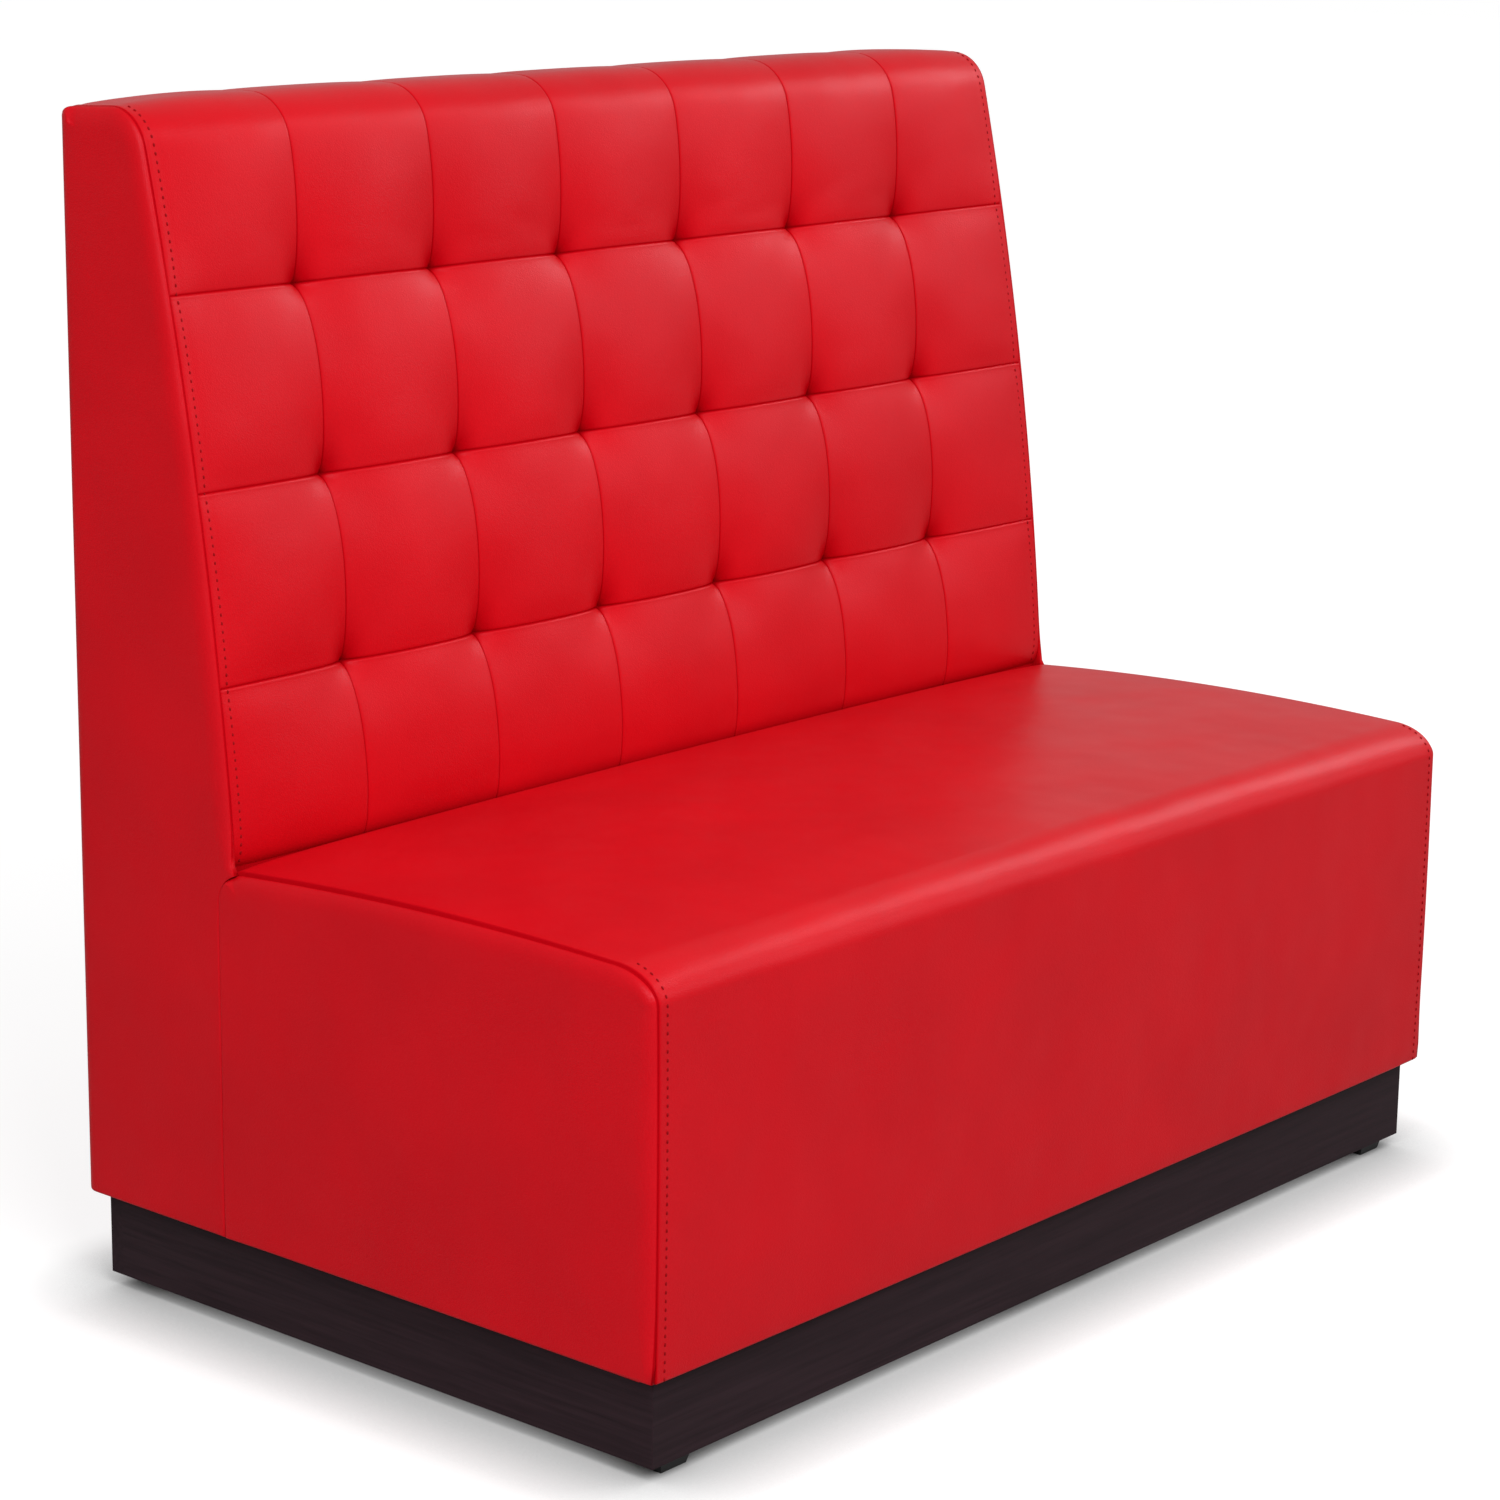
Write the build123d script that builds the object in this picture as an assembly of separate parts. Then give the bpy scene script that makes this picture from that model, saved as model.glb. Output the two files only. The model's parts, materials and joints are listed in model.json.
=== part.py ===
from build123d import *
import os
from math import atan, cos, hypot, pi, sin

# A banquette: a wall bench without arms, upholstered in leatherette. A seat module and a high
# tufted back module stand together on one recessed plinth with four glides.
# Sizes are in millimetres. The bench is drawn with the front of its seat at y = 0 and the floor
# at z = 0, and is moved on export so that the origin lies under the middle of the bench.

# Overall sizes
length = 1200.0
depth = 714.0
height = 1104.0
back_depth = 194.0
seat_seam_height = 446.0

# Plinth and glides
glide_height = 13.0
glide_top_width = 38.0
glide_foot_width = 32.0
glide_inset_x = 38.0
glide_inset_y = 26.0
plinth_height = 83.0
plinth_setback = 17.0
plinth_board = 16.0
plinth_arris = 0.8
cross_rail_width = 18.0
cross_rail_lift = 12.0
block_width = 45.0
block_drop = 2.0
block_lift = 3.0

# Upholstery layers
cover = 1.4
layer_gap = 0.2
module_gap = 0.6
nose_rest = 7.0
side_padding = 6.0
front_padding = 12.0
flange = 14.0

# Seat frame
ply = 18.0
seat_deck_drop = 100.0
batten_width = 40.0
batten_height = 30.0
divider_drop = 50.0
webbing = 2.0
webbing_width = 50.0
webbing_crosswise_count = 8
webbing_lengthwise_count = 4
support_cloth = 0.8
dust_cloth = 0.6
cloth_margin = 12.0

# Form of the seat cushion
seat_front_draw = 4.0
seat_front_bulge = 1.2
seat_front_radius = 24.0
seat_front_swell = 12.0
seat_front_crown = 8.0
seat_arch = 4.5
seat_middle_crown = 9.0
seat_rear_drop = 9.0
seat_rear_crown = 12.0
seat_rear_radius = 28.0
seat_station_shares = (-1.0, -0.985, -0.95, -0.85, -0.55, 0.0, 0.55, 0.85, 0.95, 0.985, 1.0)
seat_crown_power = 0.3

# Form of the back cushion. Its face is a gentle curve through three thicknesses of the whole back.
face_low_thickness = 209.0
face_middle_thickness = 172.0
face_high_thickness = 113.0
face_middle_share = 0.515
face_high_drop = 51.0
roll_radius = 42.0
top_side_drop = 7.0
top_seam_dip = 5.0
top_rear_drop = 3.0
top_rear_radius = 18.0
top_crown = 0.7
columns = 7
tuft_rows = 3
tuft_low_rise = 154.0
tuft_high_drop = 165.0
tuft_depth = 19.0
column_seam_depth = 7.0
row_seam_depth = 8.0
puff_rise = 6.0
roll_seam_depth = 5.0
rear_corner = 15.0
column_station_shares = (0.0, 0.27, 0.73)
row_steps = 4
roll_steps = 4
rear_steps = 3

# Back frame
front_board = 9.0
foam_low = 62.0
foam_high = 56.0
foam_over_top = 26.0
rear_board = 3.0
ledge_drop = 46.0
top_rail_height = 45.0
middle_rail_height = 50.0
bottom_rail_height = 150.0

# Fasteners and ties
twine = 2.0
twine_clearance = 0.4
twine_knot = 6.0
twine_knot_height = 4.0
tuft_washer = 22.0
tuft_washer_thickness = 2.0
bolt = 8.0
bolt_hole = 8.6
bolt_head_width = 13.0
bolt_head_height = 5.3
bolt_tail = 3.0
bolt_nut_height = 6.5
bolt_washer = 17.0
bolt_washer_thickness = 1.6
bolt_fit = 0.1
bolt_inset = 130.0
bolt_spread = 40.0
base_screw = 5.0
base_screw_head = 10.0
base_screw_head_height = 3.0
base_screw_grip = 26.0
base_screw_recess = 50.0
base_screw_inset = 30.0
block_screw = 4.0
block_screw_head = 8.0
block_screw_head_height = 2.4
block_screw_grip = 10.0
block_screw_height = 60.0
block_screw_offset = 13.0
glide_screw = 4.0
glide_screw_head = 8.0
glide_screw_head_height = 2.4
glide_screw_recess = 4.0
glide_screw_grip = 22.0

# One overrun serves every cutting tool. Small round pieces are drawn with a few flat sides.
overrun = 5.0
bar_sides = 8
washer_sides = 6
twine_sides = 4

diagonal_share = cos(pi / 4)
half_length = length / 2
seat_depth = depth - back_depth
frame_base = glide_height + plinth_height
cover_base = frame_base - cover
seat_deck_height = seat_seam_height - seat_deck_drop
face_low_height = seat_seam_height - nose_rest
face_high_height = height - face_high_drop
face_low_depth = depth - face_low_thickness
face_middle_depth = depth - face_middle_thickness
face_high_depth = depth - face_high_thickness
roll_height_side = height - top_side_drop
tuft_low_height = seat_seam_height + tuft_low_rise
tuft_row_pitch = (height - tuft_high_drop - tuft_low_height) / (tuft_rows - 1)
ledge_height = seat_seam_height - ledge_drop
bottom_rail_low = (frame_base + seat_deck_height - bottom_rail_height) / 2
soft = cover + layer_gap
frame_half = half_length - soft - side_padding
frame_inner = frame_half - ply
inner_half = half_length - cover
frame_top = height - foam_over_top
back_rear = depth - soft - rear_board
rear_seam = roll_height_side - top_rear_drop - top_rear_radius
plinth_half = half_length - plinth_setback
plinth_front = plinth_setback
plinth_rear = depth - plinth_setback


def board(low, high):
    """A straight board between its lowest and highest corner."""
    size = [b - a for a, b in zip(low, high)]
    middle = [(a + b) / 2 for a, b in zip(low, high)]
    return Pos(*middle) * Box(*size)


def side_profile(points, x_low, x_high):
    """A flat (y, z) outline carried along x."""
    face = Plane.YZ.offset(x_low) * make_face(Polyline(*points, close=True))
    return extrude(face, amount=x_high - x_low)


def plan_profile(points, z_low, z_high):
    """A flat (x, y) outline carried upwards."""
    face = Plane.XY.offset(z_low) * make_face(Polyline(*points, close=True))
    return extrude(face, amount=z_high - z_low)


def bar(radius, span, sides=bar_sides):
    """A small round bar along z, centred on the origin and drawn with a few flat sides."""
    return extrude(RegularPolygon(radius, sides), amount=span / 2, both=True)


def bar_y(radius, x, y_low, y_high, z):
    """A small round bar along y."""
    return Pos(x, (y_low + y_high) / 2, z) * Rot(90, 0, 0) * bar(radius, y_high - y_low)


def bar_z(radius, x, y, z_low, z_high):
    """A small round bar along z."""
    return Pos(x, y, (z_low + z_high) / 2) * bar(radius, z_high - z_low)


def both_sides(solid):
    """The solid and its mirror image across the middle of the bench."""
    return solid, mirror(solid, about=Plane.YZ)


# Plinth


def corner_places():
    """The four inner corners of the plinth: name, x, y and the signs that point outwards."""
    x = plinth_half - plinth_board
    y_front, y_rear = plinth_front + plinth_board, plinth_rear - plinth_board
    return [
        ("front_left", -x, y_front, -1, -1),
        ("front_right", x, y_front, 1, -1),
        ("rear_left", -x, y_rear, -1, 1),
        ("rear_right", x, y_rear, 1, 1),
    ]


def glide_place(x, y, out_x, out_y):
    """The middle of the glide that belongs to an inner corner."""
    return x + out_x * (plinth_board - glide_inset_x), y + out_y * (plinth_board - glide_inset_y)


def glide_screw_parts(x, y, out_x, out_y):
    """Shank and head of the screw that holds a glide."""
    at_x, at_y = glide_place(x, y, out_x, out_y)
    head_top = glide_screw_recess + glide_screw_head_height
    shank = bar_z(glide_screw / 2, at_x, at_y, head_top, glide_height + glide_screw_grip)
    head = bar_z(glide_screw_head / 2, at_x, at_y, glide_screw_recess, head_top)
    return shank, head


def base_screw_parts(x, y, out_x, out_y):
    """Shank and head of the screw that goes up through a block into the frame above it."""
    at_x, at_y = x - out_x * base_screw_inset, y - out_y * base_screw_inset
    shank = bar_z(base_screw / 2, at_x, at_y, base_screw_recess, frame_base + base_screw_grip)
    head_low = base_screw_recess - base_screw_head_height
    head = bar_z(base_screw_head / 2, at_x, at_y, head_low, base_screw_recess)
    return shank, head


def block_screw_parts(x, y, out_x, out_y):
    """Shanks and heads of the two screws that go out through a block into its boards."""
    across = block_width / 2 - block_screw_offset / 2
    z_x, z_y = block_screw_height + block_screw_offset, block_screw_height
    head = block_screw_head_height
    start, end = x - out_x * block_width, x + out_x * block_screw_grip
    turn = Rot(0, 90, 0)
    at_y = y - out_y * across
    shank_x = Pos((start + end) / 2, at_y, z_x) * turn * bar(block_screw / 2, abs(end - start))
    head_x = Pos(start - out_x * head / 2, at_y, z_x) * turn * bar(block_screw_head / 2, head)
    start, end = y - out_y * block_width, y + out_y * block_screw_grip
    turn = Rot(90, 0, 0)
    at_x = x - out_x * across
    shank_y = Pos(at_x, (start + end) / 2, z_y) * turn * bar(block_screw / 2, abs(end - start))
    head_y = Pos(at_x, start - out_y * head / 2, z_y) * turn * bar(block_screw_head / 2, head)
    return [(shank_x, head_x), (shank_y, head_y)]


def corner_block(x, y, out_x, out_y):
    """A softwood block in a corner of the plinth, drilled for its screws."""
    far_x, far_y = x - out_x * block_width, y - out_y * block_width
    low = (min(x, far_x), min(y, far_y), glide_height + block_lift)
    block = board(low, (max(x, far_x), max(y, far_y), frame_base - block_drop))
    at_x, at_y = x - out_x * base_screw_inset, y - out_y * base_screw_inset
    block -= bar_z(base_screw_head / 2, at_x, at_y, glide_height, base_screw_recess)
    block -= base_screw_parts(x, y, out_x, out_y)[0]
    block -= glide_screw_parts(x, y, out_x, out_y)[0]
    for shank, head in block_screw_parts(x, y, out_x, out_y):
        block -= shank
    return block


def glide(x, y, out_x, out_y):
    """A black square glide that narrows towards the floor, with a recess for its screw."""
    at_x, at_y = glide_place(x, y, out_x, out_y)
    half_foot, half_top = glide_foot_width / 2, glide_top_width / 2
    outline = [(-half_foot, 0), (half_foot, 0), (half_top, glide_height), (-half_top, glide_height)]
    wedge = side_profile(outline, -half_top, half_top)
    body = Pos(at_x, at_y, 0) * (wedge & Rot(0, 0, 90) * wedge)
    mouth = bar_z(glide_screw_head / 2, at_x, at_y, -overrun, glide_screw_recess)
    shank, head = glide_screw_parts(x, y, out_x, out_y)
    return body - mouth - head - shank


def plinth():
    """Boards, cross rail, blocks, glides and the screws that hold them."""
    outer, inner = plinth_half, plinth_half - plinth_board
    front, back = plinth_front, plinth_front + plinth_board
    edge, half_edge = plinth_arris, plinth_arris / 2
    rear_inner = plinth_rear - plinth_board
    front_points = [
        (-outer + edge, front),
        (outer - edge, front),
        (outer - half_edge, front + half_edge),
        (inner, back),
        (-inner, back),
        (-outer + half_edge, front + half_edge),
    ]
    left_points = [
        (-outer, front + edge),
        (-outer + half_edge, front + half_edge),
        (-inner, back),
        (-inner, rear_inner),
        (-outer, rear_inner),
    ]
    left, right = both_sides(plan_profile(left_points, glide_height, frame_base))
    rail_half = cross_rail_width / 2
    parts = {
        "plinth_front_board": plan_profile(front_points, glide_height, frame_base),
        "plinth_rear_board": board((-outer, rear_inner, glide_height), (outer, plinth_rear, frame_base)),
        "plinth_left_board": left,
        "plinth_right_board": right,
        "plinth_cross_rail": board(
            (-rail_half, back, glide_height + cross_rail_lift),
            (rail_half, rear_inner, frame_base - block_drop),
        ),
    }
    block_screws, base_screws, glide_screws = [], [], []
    for name, *place in corner_places():
        parts["corner_block_" + name] = corner_block(*place)
        parts["glide_" + name] = glide(*place)
        out_x, out_y = place[2:]
        side = "plinth_left_board" if out_x < 0 else "plinth_right_board"
        end = "plinth_front_board" if out_y < 0 else "plinth_rear_board"
        (shank_x, head_x), (shank_y, head_y) = block_screw_parts(*place)
        glide_shank, glide_head = glide_screw_parts(*place)
        parts[side] = parts[side] - shank_x
        parts[end] = parts[end] - shank_y - glide_shank
        block_screws += [shank_x + head_x, shank_y + head_y]
        glide_screws.append(glide_shank + glide_head)
        base_shank, base_head = base_screw_parts(*place)
        base_screws.append(base_shank + base_head)
    parts["block_screws"] = Compound(block_screws)
    parts["base_screws"] = Compound(base_screws)
    parts["glide_screws"] = Compound(glide_screws)
    return parts


# Seat


def seat_section(x, crown, inset, base):
    """Closed section of the seat at x, with no crown at the side seams and all of it in the middle."""
    draw = seat_front_draw * (1 - crown)
    edge = draw + seat_front_bulge
    radius = seat_front_radius + seat_front_swell * crown
    front_top = seat_seam_height + seat_front_crown * crown
    middle_top = seat_seam_height + seat_arch + seat_middle_crown * crown
    rear_top = seat_seam_height - seat_rear_drop + seat_rear_crown * crown
    front_y, front_z = edge + radius, front_top - radius
    rear_y, rear_z = seat_depth - seat_rear_radius, rear_top - seat_rear_radius
    front_r, rear_r = radius - inset, seat_rear_radius - inset
    a = (edge + inset, base)
    b = (draw + inset, (base + front_z) / 2)
    c = (front_y - front_r, front_z)
    d = (front_y - front_r * diagonal_share, front_z + front_r * diagonal_share)
    e = (front_y, front_z + front_r)
    f = ((front_y + rear_y) / 2, middle_top - inset)
    g = (rear_y, rear_z + rear_r)
    h = (rear_y + rear_r * diagonal_share, rear_z + rear_r * diagonal_share)
    i = (rear_y + rear_r, rear_z)
    j = (rear_y + rear_r, base)
    edges = [
        ThreePointArc(a, b, c),
        ThreePointArc(c, d, e),
        ThreePointArc(e, f, g),
        ThreePointArc(g, h, i),
        Line(i, j),
        Line(j, a),
    ]
    return Plane.YZ.offset(x) * make_face(edges)


def seat_body(inset, half, base):
    """The seat's outer form, drawn in by an inset, between two ends at plus and minus half."""
    sections = []
    for share in seat_station_shares:
        crown = (1 - share**2) ** seat_crown_power
        sections.append(seat_section(half * share, crown, inset, base))
    return loft(sections, ruled=True)


def seat_end(x_low, x_high, inset):
    """The flat end of the seat at its side seam."""
    return extrude(seat_section(x_low, 0.0, inset, cover_base), amount=x_high - x_low)


def seat():
    """Frame, webbing, foam and covers of the seat module."""
    parts = {}
    panel_front = soft + seat_front_draw + seat_front_bulge + front_padding
    panel_back = panel_front + ply
    rear_face = seat_depth
    rear_inner = rear_face - ply
    outer, inner = frame_half, frame_inner
    deck = seat_deck_height
    side_deck = deck + webbing
    parts["seat_front_panel"] = board((-outer, panel_front, frame_base), (outer, panel_back, deck))
    rear_panel = board((-outer, rear_inner, frame_base), (outer, rear_face, deck))
    parts["seat_left_panel"], parts["seat_right_panel"] = both_sides(
        board((-outer, panel_back, frame_base), (-inner, rear_inner, side_deck))
    )
    half_ply = ply / 2
    batten_back = panel_back + batten_width
    parts["seat_centre_divider"] = board(
        (-half_ply, batten_back, frame_base), (half_ply, rear_inner, deck - divider_drop)
    )
    batten = board((-inner, panel_back, frame_base), (inner, batten_back, frame_base + batten_height))
    for name, *place in corner_places():
        if "front" in name:
            batten -= base_screw_parts(*place)[0]
    parts["seat_front_batten"] = batten
    for x, z in bolt_places():
        rear_panel -= bar_y(bolt_hole / 2, x, rear_inner - overrun, rear_face + overrun, z)
    parts["seat_rear_panel"] = rear_panel

    # Elastic webbing: straps from front to rear, and straps from side to side above them
    step = (2 * inner - webbing_width) / webbing_crosswise_count
    start = -inner + webbing_width / 2 + step / 2
    crosswise = [
        board(
            (start + i * step - webbing_width / 2, panel_front, deck),
            (start + i * step + webbing_width / 2, rear_face, deck + webbing),
        )
        for i in range(webbing_crosswise_count)
    ]
    parts["seat_webbing_crosswise"] = Compound(crosswise)
    step = (rear_inner - panel_back) / webbing_lengthwise_count
    start = panel_back + step / 2
    lengthwise = [
        board(
            (-outer, start + i * step - webbing_width / 2, side_deck),
            (outer, start + i * step + webbing_width / 2, side_deck + webbing),
        )
        for i in range(webbing_lengthwise_count)
    ]
    parts["seat_webbing_lengthwise"] = Compound(lengthwise)
    cloth_low = side_deck + webbing
    foam_base = cloth_low + support_cloth
    parts["seat_support_cloth"] = board(
        (-outer + cloth_margin, panel_front + cloth_margin, cloth_low),
        (outer - cloth_margin, rear_face - cloth_margin, foam_base),
    )

    # Foam under the cover: a crowned slab over thin padding on the panels
    foam = seat_body(soft, inner_half - layer_gap, frame_base)
    wide = half_length + overrun
    above = board((-wide, -overrun, foam_base), (wide, depth, height))
    parts["seat_foam"] = foam & above
    parts["seat_front_padding"] = foam & board((-wide, -overrun, frame_base), (wide, panel_front, foam_base))
    parts["seat_left_padding"], parts["seat_right_padding"] = both_sides(
        board((-inner_half + layer_gap, panel_front, frame_base), (-outer, rear_face, foam_base))
    )

    # Covers: one panel wrapped over top and front, and two flat side panels, all turned in below
    wrap = seat_body(0.0, inner_half, cover_base) - seat_body(cover, inner_half, cover_base)
    turn_in = seat_body(0.0, inner_half, cover_base)
    turn_in &= board((-wide, -overrun, cover_base - overrun), (wide, flange, frame_base))
    wrap -= board((-wide, seat_depth / 2, cover_base - overrun), (wide, depth, foam_base))
    parts["seat_top_cover"] = wrap + turn_in
    side = seat_end(-half_length, -inner_half, 0.0)
    turn_x = -half_length + flange
    side += board((-half_length, flange + overrun, cover_base), (turn_x, seat_depth, frame_base))
    parts["seat_left_cover"], parts["seat_right_cover"] = both_sides(side)
    return parts


# Back


def face(z):
    """Depth of the side seam of the back at a height, by one curve through three points."""
    z_low, z_high = face_low_height, face_high_height
    z_middle = z_low + face_middle_share * (z_high - z_low)
    low = face_low_depth * (z - z_middle) * (z - z_high) / ((z_low - z_middle) * (z_low - z_high))
    middle = face_middle_depth * (z - z_low) * (z - z_high) / ((z_middle - z_low) * (z_middle - z_high))
    high = face_high_depth * (z - z_low) * (z - z_middle) / ((z_high - z_low) * (z_high - z_middle))
    return low + middle + high


def tuft_heights():
    return [tuft_low_height + i * tuft_row_pitch for i in range(tuft_rows)]


def tuft_columns():
    pitch = length / columns
    return [(i + 1 - columns / 2) * pitch for i in range(columns - 1)]


# How far the face is drawn in at the tuft rows, between them and at the roll, and how far the top
# stands above the sides: at a side seam, at a seam between columns and in the middle of a column
at_side = (0.0, 0.0, 0.0, 0.0)
at_seam = (tuft_depth, column_seam_depth, roll_seam_depth, height - roll_height_side - top_seam_dip)
at_middle = (row_seam_depth, -puff_rise, 0.0, height - roll_height_side)


def puff(share):
    """How much of a puff stands at a share of the way from one drawn-in line to the next."""
    return 1 - (2 * share - 1) ** 2


def round_points(y, z, radius, start, end, steps):
    """Points on a rounded edge, between two angles measured from the front towards the top."""
    angles = [start + (end - start) * i / steps for i in range(steps + 1)]
    return [(y - radius * cos(angle), z + radius * sin(angle)) for angle in angles]


def back_section(x, drawn, inset, base):
    """Closed section of the back at x: drawn-in rows, puffs between them, rolled top, rounded rear edge."""
    at_row, between, at_roll, top_rise = drawn
    top = roll_height_side + top_rise
    # The roll starts where the leaning face meets its circle
    slope = atan((face(face_high_height) - face(face_high_height - tuft_row_pitch)) / tuft_row_pitch)
    roll_z = top - roll_radius * (1 - sin(slope))
    centre_y = face(roll_z) + at_roll + roll_radius * cos(slope)
    heights = [base] + tuft_heights() + [roll_z]
    depths = [at_row] * (tuft_rows + 1) + [at_roll]
    points = []
    for i in range(tuft_rows + 1):
        bulge = (depths[i] + depths[i + 1]) / 2 - between
        for step in range(row_steps):
            share = step / row_steps
            z = heights[i] + share * (heights[i + 1] - heights[i])
            line = depths[i] + share * (depths[i + 1] - depths[i])
            points.append((face(z) + line - puff(share) * bulge + inset, z))
    points += round_points(centre_y, top - roll_radius, roll_radius - inset, slope, pi / 2, roll_steps)
    rear_y, rear_z = depth - top_rear_radius, top - top_rear_drop - top_rear_radius
    rear_points = round_points(rear_y, rear_z, top_rear_radius - inset, pi / 2, pi, rear_steps)
    (roll_end_y, roll_end_z), (rear_start_y, rear_start_z) = points[-1], rear_points[0]
    points.append(((roll_end_y + rear_start_y) / 2, (roll_end_z + rear_start_z) / 2 + top_crown))
    points += rear_points
    points.append((depth - inset, base))
    return Plane.YZ.offset(x) * make_face(Polyline(*points, close=True))


def back_stations(half):
    """Places along the back with what is drawn in there: a seam, then the puff of a column."""
    seams = [-half] + tuft_columns() + [half]
    kinds = [at_side] + [at_seam] * (columns - 1) + [at_side]
    stations = []
    for i in range(columns):
        for share in column_station_shares:
            x = seams[i] + share * (seams[i + 1] - seams[i])
            stations.append((x, at_middle if share else kinds[i]))
    stations.append((half, at_side))
    return stations


def back_body(inset, half, base):
    """The back's outer form, with a crease at each seam and a puff in each column."""
    return loft([back_section(x, drawn, inset, base) for x, drawn in back_stations(half)], ruled=True)


def rounded_plan(inset, z_low, z_high):
    """The back seen from above, with rounded rear corners, drawn in by an inset."""
    half, rear, radius = half_length - inset, depth - inset, rear_corner - inset
    middle_x, middle_y = half - radius + radius * diagonal_share, rear - radius + radius * diagonal_share
    edges = [
        Line((-half, seat_depth / 2), (half, seat_depth / 2)),
        Line((half, seat_depth / 2), (half, rear - radius)),
        ThreePointArc((half, rear - radius), (middle_x, middle_y), (half - radius, rear)),
        Line((half - radius, rear), (-half + radius, rear)),
        ThreePointArc((-half + radius, rear), (-middle_x, middle_y), (-half, rear - radius)),
        Line((-half, rear - radius), (-half, seat_depth / 2)),
    ]
    face_up = Plane.XY.offset(z_low) * make_face(edges)
    return extrude(face_up, amount=z_high - z_low)


def corner_waste():
    """What lies outside the rounded rear corners of the front cover, inside the side covers."""
    radius = rear_corner - cover
    x, y = half_length - rear_corner, depth - rear_corner
    low, high = ledge_height - overrun, height + overrun
    block = board((x, y, low), (half_length + overrun, depth + overrun, high))
    round_edge = Pos(x, y, (low + high) / 2) * Cylinder(radius, high - low + overrun)
    return both_sides(block - round_edge)


def foam_corner_waste():
    """What is cut off the foam's rear corners, so that they stay inside the rounded cover."""
    x_in, x_out = half_length - rear_corner, half_length + overrun
    y_in, y_out = depth - rear_corner, depth + overrun
    points = [(x_out, y_in - soft - overrun), (x_out, y_out), (x_in - soft - overrun, y_out)]
    return both_sides(plan_profile(points, ledge_height - overrun, height + overrun))


def front_line(z):
    """Depth of the front of the board that carries the back foam."""
    share = (z - face_low_height) / (face_high_height - face_low_height)
    low, high = face_low_depth + foam_low, face_high_depth + foam_high
    return low + share * (high - low)


def rear_line(z):
    """Depth of the rear of that board, and so of the frame's sloping edges."""
    return front_line(z) + front_board


def tuft_planes():
    """A plane for each tuft, on the rear of the front board, facing the rear, with the foam's depth."""
    slope = (face_high_depth + foam_high - face_low_depth - foam_low) / (face_high_height - face_low_height)
    stretch = hypot(1, slope)
    planes = []
    for z in tuft_heights():
        y = face(z) + tuft_depth + soft
        reach = (rear_line(z) - y) / stretch
        for x in tuft_columns():
            at = (x, y + reach / stretch, z - reach * slope / stretch)
            planes.append((Plane(origin=at, x_dir=(1, 0, 0), z_dir=(0, 1, -slope)), reach))
    return planes


def bolt_places():
    x = half_length - bolt_inset
    middle_z = bottom_rail_low + bottom_rail_height / 2
    return [(side * x, middle_z + rise) for side in (-1, 1) for rise in (-bolt_spread, bolt_spread)]


def upright(z_top, front):
    """Profile of a plywood upright: straight below the ledge, sloping above it."""
    return [
        (front, frame_base),
        (front, ledge_height - ply),
        (rear_line(ledge_height), ledge_height - ply),
        (rear_line(ledge_height), ledge_height),
        (rear_line(z_top), z_top),
        (back_rear, z_top),
        (back_rear, frame_base),
    ]


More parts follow.
